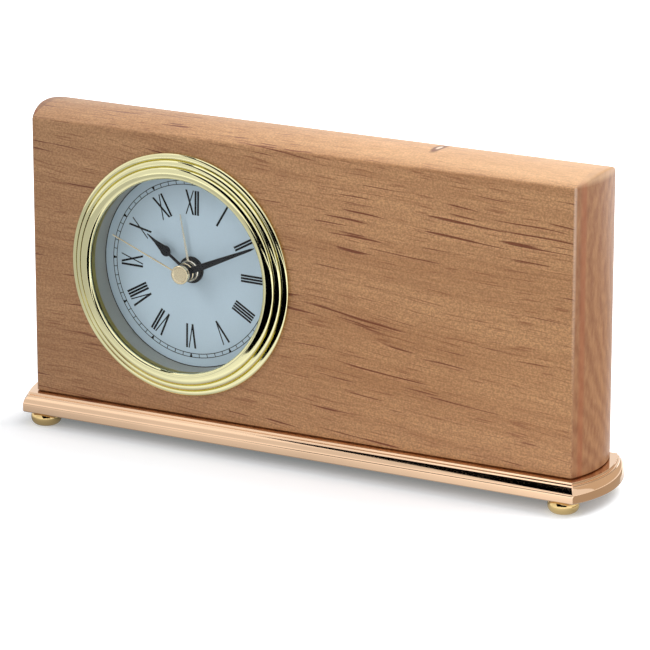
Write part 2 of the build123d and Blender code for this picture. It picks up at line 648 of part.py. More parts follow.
with BuildPart() as alarm_arbor:
    home_way = bearing(SETTING_SPOT, AXIS_SPOT)
    cog(SETTING_SPOT, SETTING_PINION, ALARM_TEETH, SETTING_REACH, home_way, ALARM_LAYER, True)
    rod(SETTING_SPOT, ARBOR_R, WEB[0] + SEAT, ALARM_LAYER[0])
    rod(SETTING_SPOT, SETTING_ARBOR_R, ALARM_LAYER[0], SETTING_ARBOR_END)
finish(alarm_arbor.part, "alarm_arbor")

# Stepping motor: stator plate round the rotor, and the coil on its core
STATOR_AT = (15.6, 13.4)
STATOR_W = 16.8
STATOR_TALL = 22.0
STATOR_BAR = 8.0  # width of the bar with the rotor hole
STATOR_ARM = 3.0
STATOR = (THIRD_LAYER[0], THIRD_LAYER[0] + STATOR_T)
with BuildPart() as stator:
    block(STATOR_AT, STATOR_W, STATOR_TALL, *STATOR)
    window_w = STATOR_W - STATOR_BAR
    window_at = (STATOR_AT[0] + STATOR_BAR / 2, STATOR_AT[1])
    block(window_at, window_w, STATOR_TALL - 2 * STATOR_ARM, *STATOR, mode=Mode.SUBTRACT)
    rod(ROTOR_SPOT, MAGNET_R + STATOR_GAP, *STATOR, mode=Mode.SUBTRACT)
finish(stator.part, "stator")

CORE = (STATOR[1], STATOR[1] + CORE_T)
CORE_MID = (CORE[0] + CORE[1]) / 2
COIL_FLANGE_T = 1.0
with BuildPart() as drive_coil:
    block((COIL_X, STATOR_AT[1]), CORE_W, STATOR_TALL, *CORE)
    with Locations(DIAL_CENTRE + Vector(COIL_X, CORE_MID, STATOR_AT[1])):
        Cylinder(COIL_R - COIL_FLANGE_T / 2, COIL_L)
    for side in (-1, 1):
        flange_z = STATOR_AT[1] + side * (COIL_L + COIL_FLANGE_T) / 2
        with Locations(DIAL_CENTRE + Vector(COIL_X, CORE_MID, flange_z)):
            Cylinder(COIL_R, COIL_FLANGE_T)
finish(drive_coil.part, "drive_coil")

# Circuit board on the back of the bridge, with its sealed chip, and the crystal beside it
BOARD_AT = (11.0, 15.0)
BOARD_W = 12.0
BOARD_TALL = 18.0
BOARD = (BRIDGE[1], BRIDGE[1] + 0.8)
CHIP_AT = (8.6, 15.0)
CHIP_R = 2.2
CHIP_H = 0.9
CRYSTAL_AT = (14.5, 15.0)
CRYSTAL_R = 0.75
CRYSTAL_L = 6.0
with BuildPart() as circuit_board:
    block(BOARD_AT, BOARD_W, BOARD_TALL, *BOARD, corner=1.0)
    rod(CHIP_AT, CHIP_R, BOARD[1], BOARD[1] + CHIP_H)
    chamfer(circuit_board.edges().sort_by(Axis.Y)[-1], CHIP_H / 2)
finish(circuit_board.part, "circuit_board")

with BuildPart() as quartz_crystal:
    crystal_depth = BOARD[1] + CRYSTAL_R + SEAT
    with Locations(DIAL_CENTRE + Vector(CRYSTAL_AT[0], crystal_depth, CRYSTAL_AT[1])):
        Cylinder(CRYSTAL_R, CRYSTAL_L)
finish(quartz_crystal.part, "quartz_crystal")

with BuildPart() as buzzer:
    rod(BUZZER_AT, BUZZER_R, COVER[0] - BUZZER_T, COVER[0])
    rod(BUZZER_AT, BUZZER_R / 3, COVER[0] - BUZZER_T, COVER[0] - BUZZER_T / 2, mode=Mode.SUBTRACT)
finish(buzzer.part, "buzzer")

# Cell with its nub, and the two spring contacts that stand on the web
with BuildPart() as battery_cell:
    cell_middle = DIAL_CENTRE + Vector(CELL_AT[0] - CELL_NUB_L / 2, CELL_DEPTH, CELL_AT[1])
    with Locations(cell_middle):
        Cylinder(CELL_R, CELL_L - CELL_NUB_L, rotation=(0, 90, 0))
    chamfer(battery_cell.edges().filter_by(GeomType.CIRCLE), ARRIS_R / 2)
    with Locations(cell_middle + Vector(CELL_L / 2, 0, 0)):
        Cylinder(CELL_NUB_R, CELL_NUB_L, rotation=(0, 90, 0))
finish(battery_cell.part, "battery_cell")

CONTACT_T = 0.4
CONTACT_H = 8.0
CONTACT_BACK = 25.0
CONTACT_X = 27.0
CONTACT_FOOT = 4.0
for contact_name, way in (("contact_positive", 1), ("contact_negative", -1)):
    with BuildPart() as contact:
        side_plane = Plane(
            DIAL_CENTRE + Vector(0, 0, CELL_AT[1] - CONTACT_H / 2), x_dir=(1, 0, 0), z_dir=(0, 0, 1)
        )
        with BuildSketch(side_plane):
            with BuildLine():
                Polyline(
                    (way * (CONTACT_X - CONTACT_FOOT), WEB[1] + CONTACT_T / 2),
                    (way * CONTACT_X, WEB[1] + CONTACT_T / 2),
                    (way * CONTACT_X, CELL_DEPTH - CELL_NUB_R),
                )
                ThreePointArc(
                    (way * CONTACT_X, CELL_DEPTH - CELL_NUB_R),
                    (way * (CELL_L / 2 + CONTACT_T / 2 + RUN), CELL_DEPTH),
                    (way * CONTACT_X, CELL_DEPTH + CELL_NUB_R),
                )
                Line((way * CONTACT_X, CELL_DEPTH + CELL_NUB_R), (way * CONTACT_X, CONTACT_BACK))
            trace(line_width=CONTACT_T)
        extrude(amount=CONTACT_H)
    finish(contact.part, contact_name)

# Back cover with the cell opening, knob holes, switch slot and sound holes
SOUND_HOLE_R = 0.9
SOUND_RING_R = 4.0
SOUND_HOLES = 8
DOOR_CORNER = 2.0
with BuildPart() as back_cover:
    rod(AXIS_SPOT, COVER_R, *COVER)
    for spot in BOSSES:
        rod(spot, COVER_SCREW_R + SEAT, *COVER, mode=Mode.SUBTRACT)
    for spot in SETTING_SPOTS:
        rod(spot, SETTING_ARBOR_R + RUN, *COVER, mode=Mode.SUBTRACT)
    for hole in range(SOUND_HOLES):
        rod(
            from_spot(BUZZER_AT, SOUND_RING_R, hole * 360 / SOUND_HOLES),
            SOUND_HOLE_R,
            *COVER,
            mode=Mode.SUBTRACT,
        )
    block(
        SWITCH_AT,
        SWITCH_W + SWITCH_TRAVEL + 2 * DOOR_GAP,
        SWITCH_H + 2 * DOOR_GAP,
        *COVER,
        mode=Mode.SUBTRACT,
    )
    block(
        CELL_AT,
        DOOR_W + 2 * DOOR_GAP,
        DOOR_H + 2 * DOOR_GAP,
        COVER[1] - DOOR_T,
        COVER[1],
        corner=DOOR_CORNER,
        mode=Mode.SUBTRACT,
    )
    block(
        CELL_AT,
        DOOR_W - 2 * DOOR_LEDGE,
        DOOR_H - 2 * DOOR_LEDGE,
        *COVER,
        corner=DOOR_LEDGE,
        mode=Mode.SUBTRACT,
    )
finish(back_cover.part, "back_cover")

COVER_SCREW_HEAD_R = 1.9
with BuildPart() as cover_screws:
    for spot in BOSSES:
        round_head_screw(spot, COVER_SCREW_R, COVER_SCREW_HEAD_R, COVER_SCREW_TIP, COVER[1])
finish(cover_screws.part, "cover_screws")

# Cell door on its ledge, with grip ridges, drawn straight off the back
RIDGES = 5
RIDGE_PITCH = 2.4
RIDGE_W = 1.0
RIDGE_H = 0.6
with BuildPart() as battery_door:
    block(CELL_AT, DOOR_W, DOOR_H, COVER[1] - DOOR_T, COVER[1], corner=DOOR_CORNER - DOOR_GAP)
    for ridge in range(RIDGES):
        ridge_x = DOOR_W / 2 - 2 * RIDGE_PITCH - ridge * RIDGE_PITCH
        block((ridge_x, CELL_AT[1]), RIDGE_W, DOOR_H / 2, COVER[1], COVER[1] + RIDGE_H)
finish(battery_door.part, "battery_door")

# Alarm switch at the off end of its slot
SWITCH_HOME = (SWITCH_AT[0] - SWITCH_TRAVEL / 2, SWITCH_AT[1])
SWITCH_FLANGE = (26.5, 27.2)
SWITCH_OUT = 31.2
with BuildPart() as alarm_switch:
    block(SWITCH_HOME, SWITCH_W, SWITCH_H, SWITCH_FLANGE[0], SWITCH_OUT)
    block(SWITCH_HOME, SWITCH_W + 2.0, SWITCH_H + 2.0, *SWITCH_FLANGE)
    fillet(alarm_switch.edges().group_by(Axis.Y)[-1], ARRIS_R / 2)
finish(alarm_switch.part, "alarm_switch")

# Fluted knobs on the ends of the two setting arbors
FLUTE_R = 0.55
for knob_name, spot in (("time_knob", MOTION_SPOT), ("alarm_knob", SETTING_SPOT)):
    with BuildPart() as knob:
        with BuildSketch(face(KNOB[1])):
            with Locations(spot):
                Circle(KNOB_R)
                with PolarLocations(KNOB_R, KNOB_FLUTES):
                    Circle(FLUTE_R, mode=Mode.SUBTRACT)
        extrude(amount=KNOB[1] - KNOB[0])
        chamfer(knob.edges().group_by(Axis.Y)[-1], ARRIS_R / 2)
        rod(spot, SETTING_ARBOR_R + SEAT, KNOB[0], SETTING_ARBOR_END + SEAT, mode=Mode.SUBTRACT)
    finish(knob.part, knob_name)

# Half outlines of the hands, pointing at twelve: half width, distance from the axis
ALARM_HALF = ((0.5, ALARM_PIPE_R + RUN), (0.18, ALARM_LENGTH))
MINUTE_HALF = ((1.1, CANNON_PIPE_R + 1), (1.2, 9.0), (0.45, MINUTE_LENGTH - 1.8), (0.1, MINUTE_LENGTH))
SECOND_HALF = ((0.28, SECOND_CAP_R / 2), (0.2, SECOND_LENGTH))
HOUR_STEM = 0.5
HOUR_SPADE_START = 9.0
HOUR_SPADE_SIDE = (1.95, 10.6)
HOUR_SPADE_SHOULDER = (1.45, 12.6)
HOUR_SPADE_END = (0.5, 16.6)
HOUR_TIP_HALF = 0.12


def tapered_blade(half, angle, span):
    """Straight-sided hand, added to the part in hand."""
    with BuildSketch(face(span[1], angle)) as blade:
        Polygon(*half, *[(-across, along) for across, along in reversed(half)], align=None)
    extrude(blade.sketch, amount=span[1] - span[0])


def collet(radius, bore, span):
    """Round boss that presses a hand on its pipe."""
    rod(AXIS_SPOT, radius, *span)
    rod(AXIS_SPOT, bore + SEAT, *span, mode=Mode.SUBTRACT)


with BuildPart() as alarm_hand:
    tapered_blade(ALARM_HALF, ALARM_ANGLE, ALARM_BLADE)
    collet(ALARM_COLLET_R, ALARM_PIPE_R, ALARM_COLLET)
finish(alarm_hand.part, "alarm_hand")

# Hour hand: thin stem that opens into a spade and runs out to a point
with BuildPart() as hour_hand:
    with BuildSketch(face(HOUR_BLADE[1], HOUR_ANGLE)):
        with BuildLine():
            Line((0, HOUR_PIPE_R), (HOUR_STEM, HOUR_PIPE_R))
            Line((HOUR_STEM, HOUR_PIPE_R), (HOUR_STEM, HOUR_SPADE_START))
            ThreePointArc((HOUR_STEM, HOUR_SPADE_START), HOUR_SPADE_SIDE, HOUR_SPADE_SHOULDER)
            Polyline(HOUR_SPADE_SHOULDER, HOUR_SPADE_END, (HOUR_TIP_HALF, HOUR_LENGTH), (0, HOUR_LENGTH))
            mirror(about=Plane.YZ)
        make_face()
    extrude(amount=HOUR_BLADE[1] - HOUR_BLADE[0])
    collet(HOUR_COLLET_R, HOUR_PIPE_R, HOUR_COLLET)
finish(hour_hand.part, "hour_hand")

with BuildPart() as minute_hand:
    tapered_blade(MINUTE_HALF, MINUTE_ANGLE, MINUTE_BLADE)
    collet(MINUTE_COLLET_R, CANNON_PIPE_R, MINUTE_COLLET)
finish(minute_hand.part, "minute_hand")

# Second hand under a dished cap that covers the end of its arbor
with BuildPart() as second_hand:
    tapered_blade(SECOND_HALF, SECOND_ANGLE, SECOND_BLADE)
    with BuildSketch(radial_section()) as cap_half:
        Polygon(
            (0, SECOND_CAP[0] + CAP_DISH),
            (SECOND_CAP_R - CAP_RIM, SECOND_CAP[0]),
            (SECOND_CAP_R - CAP_CHAMFER, SECOND_CAP[0]),
            (SECOND_CAP_R, SECOND_CAP[0] + CAP_CHAMFER),
            (SECOND_CAP_R, SECOND_CAP[1]),
            (0, SECOND_CAP[1]),
            align=None,
        )
    revolve(cap_half.sketch, axis=DIAL_AXIS)
    rod(AXIS_SPOT, SECOND_ARBOR_R + SEAT, SECOND_ARBOR_TOP - SEAT, SECOND_CAP[1], mode=Mode.SUBTRACT)
finish(second_hand.part, "second_hand")
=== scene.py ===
import json
from math import asin, atan2, cos, pi, radians, sin, sqrt

import bmesh
import bpy
from mathutils import Matrix, Vector


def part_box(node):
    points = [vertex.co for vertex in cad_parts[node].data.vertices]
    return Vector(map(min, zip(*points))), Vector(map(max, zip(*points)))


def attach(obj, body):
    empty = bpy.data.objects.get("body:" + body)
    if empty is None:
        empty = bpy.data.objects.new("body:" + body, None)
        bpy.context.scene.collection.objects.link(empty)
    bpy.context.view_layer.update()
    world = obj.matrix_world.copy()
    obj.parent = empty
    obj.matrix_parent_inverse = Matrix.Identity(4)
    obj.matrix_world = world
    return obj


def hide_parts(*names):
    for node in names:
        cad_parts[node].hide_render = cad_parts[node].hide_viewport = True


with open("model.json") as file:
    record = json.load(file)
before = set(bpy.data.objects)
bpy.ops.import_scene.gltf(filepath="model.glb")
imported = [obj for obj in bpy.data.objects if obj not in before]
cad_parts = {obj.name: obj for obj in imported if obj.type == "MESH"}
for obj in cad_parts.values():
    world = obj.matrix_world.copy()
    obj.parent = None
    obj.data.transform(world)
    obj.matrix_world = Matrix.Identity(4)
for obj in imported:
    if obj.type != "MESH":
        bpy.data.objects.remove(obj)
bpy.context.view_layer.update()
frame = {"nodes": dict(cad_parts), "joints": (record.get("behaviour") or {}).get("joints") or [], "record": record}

# Wooden desk clock. Shapes are modelled in millimetres and brought to metres when a piece is made.
# Depths on the dial side are counted backwards from the front face of the wood.
# Materials, lamps, cards and the camera are in metres.

MM = 0.001


def node_box(node):
    """Lowest and highest corner of a CAD node, in millimetres."""
    low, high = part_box(node)
    return low / MM, high / MM


# Places read from the frame
wood_low, wood_high = node_box("wood_block")
base_low, base_high = node_box("base_plate")
second_joint = next(joint for joint in frame["joints"] if joint["name"] == "second_turn")
DIAL_X = second_joint["pos_m"][0] / MM
DIAL_Z = second_joint["pos_m"][2] / MM
WOOD_FRONT = wood_low.y
WOOD_BACK = wood_high.y
WOOD_MID = (WOOD_FRONT + WOOD_BACK) / 2
WOOD_T = WOOD_BACK - WOOD_FRONT
BASE_TOP = base_high.z
FOOT_H = base_low.z

# Wooden block
EDGE_BOW = 3.6  # swell of the ends and of the top at mid thickness
WOOD_W = wood_high.x - wood_low.x - 2 * EDGE_BOW
WOOD_H = wood_high.z - wood_low.z - EDGE_BOW
BOW_R = ((WOOD_T / 2) ** 2 + EDGE_BOW**2) / (2 * EDGE_BOW)
BOW_STEPS = 40
ARRIS = 0.8  # width taken off each side of an edge of the wood
LOWER_ARRIS = 0.3  # the same at the edges that stand on the base
ARRIS_STEPS = 4
BORE_R = 40.5

# Marks in the wood, in metres
GRAIN_FALL = radians(-3.5)  # slope of the grain along the front
GRAIN_WAVER = 0.004  # most that the grain strays up or down
KNOT = (0.048, 0.001)  # place of the pin knot in the top
KNOT_FORM = (560, 165)  # one over its half width and half length
ARRIS_HIGHLIGHT_CORNER = (0.1072, -0.0151)  # end and front from which the right arris carries a painted highlight
ARRIS_HIGHLIGHT_FADE = 0.0005
END_FADE = 0.0003  # half the way over which the face turns into end grain
RED_RING_DEPTH = -0.0122  # where a red growth ring runs up the ends
TOP_FADE = (0.004, 0.002)  # drops from the crown between which painted light makes the top paler

# Moulded base, as distances beyond the wood and drops from the seat of the block
PLINTH_IN = 1.5
PLINTH_H = 0.3
LEDGE_OUT = 2.8
LEDGE_DROP = 1.2
STEP_OUT = 3.5
STEP_DROP = 1.9
BASE_OUT = WOOD_FRONT - base_low.y
OVOLO_DROP = 5.0
UNDER_CHAMFER = 0.4
BASE_EDGE_ROUND = 0.1

# Bun feet
FOOT_R = 5.6
FOOT_REST_R = 3.9
FOOT_NECK_R = 4.5
FOOT_BELLY_H = 2.4
FOOT_LOWER_SWELL = 0.42
FOOT_UPPER_SWELL = 0.38

# Round insert: radii from the dial axis, and depths
RING_EDGES = ((44.5, -0.8), (42.2, -1.75), (39.8, -2.95), (37.0, -4.15))
RING_GROOVE = 0.45  # width of the cut between two rings
RING_GROOVE_DEPTH = 0.7
LIP = (35.6, -3.2)
LIP_SWELL = 0.27
SKIRT_R = 37.25
SKIRT_OUT_R = 38.0
SKIRT_END = 6.0
LENS_R = 37.15
LENS_FRONT = -2.9
LENS_BACK = -1.1
LENS_GROUND = 0.15  # width of the ground edge
SLEEVE_R = 36.0
SLEEVE_OUT_R = 36.18
SLEEVE_BACK = 1.0
REHAUT_R = 36.2
DIAL_DEPTH = 8.5
NUT_R = 4.9
NUT_BORE_R = 4.02
NUT_FRONT = 7.75
NUT_ROUND = 0.35
NUT_ROUND_SWELL = 0.1

# Dial print
PRINT_T = 0.03
PRINT_FRONT = DIAL_DEPTH - PRINT_T
NUMERALS = ("XII", "I", "II", "III", "IIII", "V", "VI", "VII", "VIII", "IX", "X", "XI")
NUMERAL_IN = 20.3
NUMERAL_OUT = 29.3
THICK_STROKE = 0.78
THIN_STROKE = 0.44
STROKE_PITCH = 1.06
LETTER_GAP = 0.9
LETTER_W = {"I": 0.0, "V": 2.6, "X": 2.95}  # between the middles of the outer strokes
TRACK_IN = 31.15
TRACK_OUT = 32.55
TRACK_LINE = 0.26
HOUR_MARK_W = 1.1
# Width of a dark ring of painted shade where the dial meets the grey wall
DIAL_EDGE_SHADE = 0.32
DIAL_TURN = 1.0  # degrees that the dial sits clockwise of upright

# Hands, with angles clockwise from twelve and half outlines as (across, outwards) points
HOUR_ANGLE = 305.8
HOUR_STEM = ((0.5, 2.5), (0.5, 9.0))
HOUR_SPADE = (1.45, 12.6)
HOUR_SPADE_SWELL = 0.95
HOUR_POINT = ((0.5, 16.6), (0.12, 20.4))
HOUR_BLADE = (5.2, 5.6)  # front and back, as for the other blades
HOUR_COLLET = (3.4, 2.52, 3.6, 5.6)  # radius, bore, front and back, as for the other collets
MINUTE_ANGLE = 66.0
MINUTE_HALF = ((1.1, 2.5), (1.2, 9.0), (0.45, 30.2), (0.1, 32.0))
MINUTE_BLADE = (2.2, 2.6)
MINUTE_COLLET = (3.2, 1.52, 1.1, 3.3)
SECOND_ANGLE = 292.0
SECOND_HALF = ((0.28, 1.7), (0.2, 30.2))
SECOND_BLADE = (0.2, 0.5)
ALARM_ANGLE = 349.5
ALARM_HALF = ((0.5, 3.3), (0.18, 20.6))
ALARM_BLADE = (6.95, 7.3)
ALARM_COLLET = (3.9, 3.27, 6.0, 7.3)
ALARM_COLLET_EDGE = 0.3
BLADE_ROUND = 0.05
COLLET_EDGE = 0.25

# Cap of the second hand
CAP_R = 3.45
CAP_FRONT = -0.3
CAP_BACK = 0.8
CAP_ROUND = 0.3
CAP_ROUND_SWELL = 0.09
CAP_EDGE = 0.15
DISH_R = 2.55
DISH_FRONT = -0.12
DISH_SLOPE = 0.2

# Bright line on the front edge of a collet, measured from that edge
RIM_IN = 0.4
RIM_SLOPE = 0.2
RIM_BACK = 0.35
RIM_PROUD = 0.03
RIM_OVER = 0.02

# Fineness of round shapes
TURN_STEPS = 256
SMALL_TURN_STEPS = 96
ARC_STEPS = 14
SHARP_ANGLE = radians(32)
WELD = 0.0005
SEAM_WELD = 0.001

# Stage
WHITE = (1, 1, 1, 1)
WARM_GREY = (1.0, 0.85, 0.68, 1)  # warm tint of a card, a painted stand-in for the wood's colour in the metal's reflections
FLOOR_HALF = 6.0
PAPER = (0.87, 0.89, 0.91, 1)
UNDER_GLOW = (0.12, 0.15, 0.165, 1)  # painted light that the floor adds to the eye under the base
EDGE_GLOW = (0.44, 0.44, 0.45, 1)  # painted light beside it
FAR_GLOW = (0.8, 0.8, 0.8, 1)  # far away
FLOOR_CARD_H = 0.001
CEILING_BLACK_H = 1.14
CEILING_WHITE_H = 1.15

# Camera, solved from the photo
LENS_LENGTH = 224.84  # in millimetres, as the sensor is
SENSOR_W = 36.0
CAMERA_PLACE = (0.66696, -1.21346, 0.45154)
CAMERA_DOWN = 16.238  # degrees below level
CAMERA_TURN = 28.669  # degrees anticlockwise of straight ahead
VIEW_DEPTH = 50.0


# Modelling helpers

def arc(start, end, swell, steps=ARC_STEPS):
    """Points after start, up to and with end, of a round stretch that swells to the left of its way."""
    start = Vector(start)
    end = Vector(end)
    chord = end - start
    left = Vector((-chord.y, chord.x)).normalized()
    radius = (chord.length_squared / 4 + swell**2) / (2 * swell)
    centre = (start + end) / 2 + left * (swell - radius)
    spoke = start - centre
    sweep = spoke.angle_signed(end - centre)
    return [centre + Matrix.Rotation(-sweep * step / steps, 2) @ spoke for step in range(1, steps + 1)]


def chain(shape, points, closed=False):
    """Vertices joined by edges in a row; gives the new geometry."""
    corners = [shape.verts.new(point) for point in points]
    pairs = list(zip(corners, corners[1:]))
    if closed:
        pairs.append((corners[-1], corners[0]))
    return corners + [shape.edges.new(pair) for pair in pairs]


def whole(shape):
    """All the geometry of a shape."""
    return shape.verts[:] + shape.edges[:] + shape.faces[:]


def tidy(shape):
    """Weld doubles and turn the faces outwards."""
    bmesh.ops.remove_doubles(shape, verts=shape.verts, dist=WELD)
    bmesh.ops.recalc_face_normals(shape, faces=shape.faces)


def add_shape(shape, other):
    """Move the geometry of another shape into the one in hand."""
    passing = bpy.data.meshes.new("passing")
    other.to_mesh(passing)
    other.free()
    shape.from_mesh(passing)
    bpy.data.meshes.remove(passing)


def turned(outline, axis, steps, closed=False):
    """Shape from an outline of points turned all the way about an axis through the origin."""
    shape = bmesh.new()
    half = chain(shape, outline, closed)
    bmesh.ops.spin(
        shape,
        geom=half,
        cent=(0, 0, 0),
        axis=axis,
        angle=2 * pi,
        steps=steps,
        use_merge=True,
    )
    tidy(shape)
    return shape


def turned_on_dial(shape, outline, steps=TURN_STEPS, closed=False):
    """Turn an outline of (radius, depth) points about the dial axis, added to the shape in hand."""
    ring = turned([(radius, depth, 0) for radius, depth in outline], (0, 1, 0), steps, closed)
    bmesh.ops.translate(ring, vec=(DIAL_X, WOOD_FRONT, DIAL_Z), verts=ring.verts)
    add_shape(shape, ring)


def square_ring(shape, inner, outer, front, back):
    """Ring of square section round the dial axis, added to the shape in hand."""
    outline = ((inner, front), (outer, front), (outer, back), (inner, back))
    turned_on_dial(shape, outline, closed=True)


def on_dial(clockwise, depth):
    """Place of a drawing that points at twelve, turned to its angle and set at its depth."""
    place = Matrix.Translation((DIAL_X, WOOD_FRONT + depth, DIAL_Z))
    return place @ Matrix.Rotation(radians(clockwise), 4, "Y")


def plate_on_dial(shape, outline, clockwise, front, back):
    """Flat plate from an outline of (across, outwards) points, added to the shape in hand."""
    plate = bmesh.new()
    lid = plate.faces.new([plate.verts.new((across, 0, outwards)) for across, outwards in outline])
    wall = bmesh.ops.extrude_face_region(plate, geom=[lid])["geom"]
    moved = [item for item in wall if isinstance(item, bmesh.types.BMVert)]
    bmesh.ops.translate(plate, vec=(0, back - front, 0), verts=moved)
    bmesh.ops.recalc_face_normals(plate, faces=plate.faces)
    bmesh.ops.transform(plate, matrix=on_dial(clockwise, front), verts=plate.verts)
    add_shape(shape, plate)


def sharp_edges(shape, angle=SHARP_ANGLE):
    """Edges at which two faces meet at more than an angle."""
    shape.normal_update()
    return [edge for edge in shape.edges if edge.is_manifold and edge.calc_face_angle() > angle]


def soften(shape, edges, offset, segments=3):
    """Round off edges."""
    bmesh.ops.bevel(
        shape,
        geom=edges,
        offset=offset,
        offset_type="OFFSET",
        segments=segments,
        profile=0.5,
        affect="EDGES",
        material=-1,
        clamp_overlap=True,
    )


def piece(name, shape, material, body, slot, *stands_for):
    """Make a piece of a shape, set it on its body and let it stand for CAD nodes."""
    bmesh.ops.scale(shape, vec=(MM, MM, MM), verts=shape.verts)
    mesh = bpy.data.meshes.new(name)
    shape.to_mesh(mesh)
    shape.free()
    mesh.shade_smooth()
    mesh.set_sharp_from_angle(angle=SHARP_ANGLE)
    mesh.materials.append(material)
    obj = bpy.data.objects.new(name, mesh)
    bpy.context.scene.collection.objects.link(obj)
    even = obj.modifiers.new("even_faces", "WEIGHTED_NORMAL")
    even.keep_sharp = True
    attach(obj, body)
    if stands_for:
        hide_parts(*stands_for)
    return obj


# Material helpers

def new_material(name):
    """A material with its node tree and its shader."""
    material = bpy.data.materials.new(name)
    material.use_nodes = True
    tree = material.node_tree
    return material, tree, tree.nodes["Principled BSDF"]


def fill_inputs(tree, node, inputs):
    """Set a node's inputs to values, or link them to other nodes' outputs."""
    for socket, value in inputs.items():
        if isinstance(value, bpy.types.NodeSocket):
            tree.links.new(value, node.inputs[socket])
        else:
            node.inputs[socket].default_value = value


def add_node(tree, kind, inputs, **settings):
    """A node with its settings made and its inputs filled; gives its first output."""
    node = tree.nodes.new(kind)
    for setting, value in settings.items():
        setattr(node, setting, value)
    fill_inputs(tree, node, inputs)
    return node.outputs[0]


def object_place(tree):
    """Object coordinates."""
    return tree.nodes.new("ShaderNodeTexCoord").outputs["Object"]


def stretched(tree, place, scale=(1, 1, 1), location=(0, 0, 0), rotation=(0, 0, 0)):
    """A place stretched, turned and moved."""
    settings = {"Vector": place, "Scale": scale, "Location": location, "Rotation": rotation}
    return add_node(tree, "ShaderNodeMapping", settings)


def split_place(tree, place):
    """The three parts of a place: along the block, depth and height."""
    parts = tree.nodes.new("ShaderNodeSeparateXYZ")
    tree.links.new(place, parts.inputs[0])
    return parts.outputs[:]


def noise(tree, place, scale, detail=2.0, roughness=0.5, location=(0, 0, 0)):
    """Cloudy pattern from 0 to 1, with so many clouds to the metre each way."""
    settings = {
        "Vector": stretched(tree, place, scale, location),
        "Scale": 1.0,
        "Detail": detail,
        "Roughness": roughness,
    }
    return add_node(tree, "ShaderNodeTexNoise", settings)


def spread(tree, value, low, high, to_low=0.0, to_high=1.0):
    """Stretch of a value from one span to another, held at its ends."""
    settings = {"Value": value, "From Min": low, "From Max": high, "To Min": to_low, "To Max": to_high}
    return add_node(tree, "ShaderNodeMapRange", settings)


def combine(tree, operation, first, *others):
    """Values combined one after the other."""
    for other in others:
        first = add_node(tree, "ShaderNodeMath", {0: first, 1: other}, operation=operation)
    return first


def magnitude(tree, value):
    """A value without its sign."""
    return add_node(tree, "ShaderNodeMath", {0: value}, operation="ABSOLUTE")


def blend_colours(tree, share, first, second, way="MIX"):
    """Mix of two colours."""
    node = tree.nodes.new("ShaderNodeMix")
    node.data_type = "RGBA"
    node.blend_type = way
    fill_inputs(tree, node, {0: share, 6: first, 7: second})
    return node.outputs[2]


def relief(tree, shader, height, strength, distance):
    """Bump that follows a height."""
    settings = {"Height": height, "Strength": strength, "Distance": distance}
    fill_inputs(tree, shader, {"Normal": add_node(tree, "ShaderNodeBump", settings)})


def rgb(red, green, blue):
    """Colour from the eight-bit values of a screen."""
    def linear(value):
        share = value / 255
        return share / 12.92 if share <= 0.04045 else ((share + 0.055) / 1.055) ** 2.4
    return (linear(red), linear(green), linear(blue), 1.0)


# Wood, with patterns by the metre along the grain, through the block and upwards

def wavering(tree, place):
    """A place that strays up and down as the grain does."""
    waver = noise(tree, place, (7, 22, 22))
    stray = spread(tree, waver, 0.25, 0.75, -GRAIN_WAVER, GRAIN_WAVER)
    shift = add_node(tree, "ShaderNodeCombineXYZ", {"Z": stray})
    return add_node(tree, "ShaderNodeVectorMath", {0: place, 1: shift}, operation="ADD")


def pore_chains(tree, grain, along):
    """One in the long dark pores, which gather in clusters and are more on the right."""
    pores = noise(tree, grain, (30, 950, 950), detail=1.5, roughness=0.4)
    clusters = noise(tree, grain, (12, 55, 55), detail=1.5, location=(0.4, 0, 0.2))
    gathered = spread(tree, clusters, 0.35, 0.7, -0.08, 0.06)
    to_the_right = spread(tree, along, -0.1, 0.05, -0.02, 0.015)
    return spread(tree, combine(tree, "ADD", pores, gathered, to_the_right), 0.64, 0.69)


def face_grain(tree, place, grain, fibre, pores):
    """Colour of the faces: bands, lines and fibres of tone, then speckles, short dashes and pores."""
    bands = noise(tree, grain, (4, 50, 50), detail=4, roughness=0.55)
    lines = noise(tree, grain, (9, 330, 330), detail=3, roughness=0.55)
    speckle = noise(tree, place, (1300, 1500, 1500))
    dashes = noise(tree, grain, (75, 1500, 1500), detail=1.0, location=(0.1, 0, 0.7))
    tone = combine(
        tree,
        "ADD",
        spread(tree, bands, 0.25, 0.75, 0, 0.66),
        spread(tree, lines, 0.3, 0.7, 0, 0.3),
        spread(tree, fibre, 0.3, 0.7, -0.22, 0.24),
    )
    colour = blend_colours(tree, tone, rgb(178, 120, 72), rgb(234, 180, 126))
    colour = blend_colours(tree, spread(tree, speckle, 0.38, 0.62, 0, 0.5), colour, rgb(148, 98, 58))
    colour = blend_colours(tree, spread(tree, dashes, 0.62, 0.7, 0, 0.5), colour, rgb(138, 70, 30))
    return blend_colours(tree, combine(tree, "MULTIPLY", pores, 0.85), colour, rgb(116, 42, 8))


def end_grain(tree, place, wavy, depth):
    """Colour of the ends: arcs of growth rings, flecks, and one red ring near the front."""
    rings = add_node(
        tree,
        "ShaderNodeTexWave",
        {
            "Vector": stretched(tree, wavy, (0.2, 1, 1), location=(0, -0.07, -0.085)),
            "Scale": 60.0,
            "Distortion": 3.0,
            "Detail": 3.0,
            "Detail Scale": 1.5,
        },
        wave_type="RINGS",
        rings_direction="X",
    )
    flecks = noise(tree, place, (400, 700, 260), detail=3)
    tone = combine(tree, "ADD", spread(tree, rings, 0, 1, 0, 0.4), spread(tree, flecks, 0.3, 0.7, 0, 0.6))
    colour = blend_colours(tree, tone, rgb(148, 93, 57), rgb(184, 132, 88))
    off_ring = magnitude(tree, combine(tree, "SUBTRACT", depth, RED_RING_DEPTH))
    return blend_colours(tree, spread(tree, off_ring, 0.0006, 0.0018, 0.5, 0.0), colour, rgb(172, 92, 52))


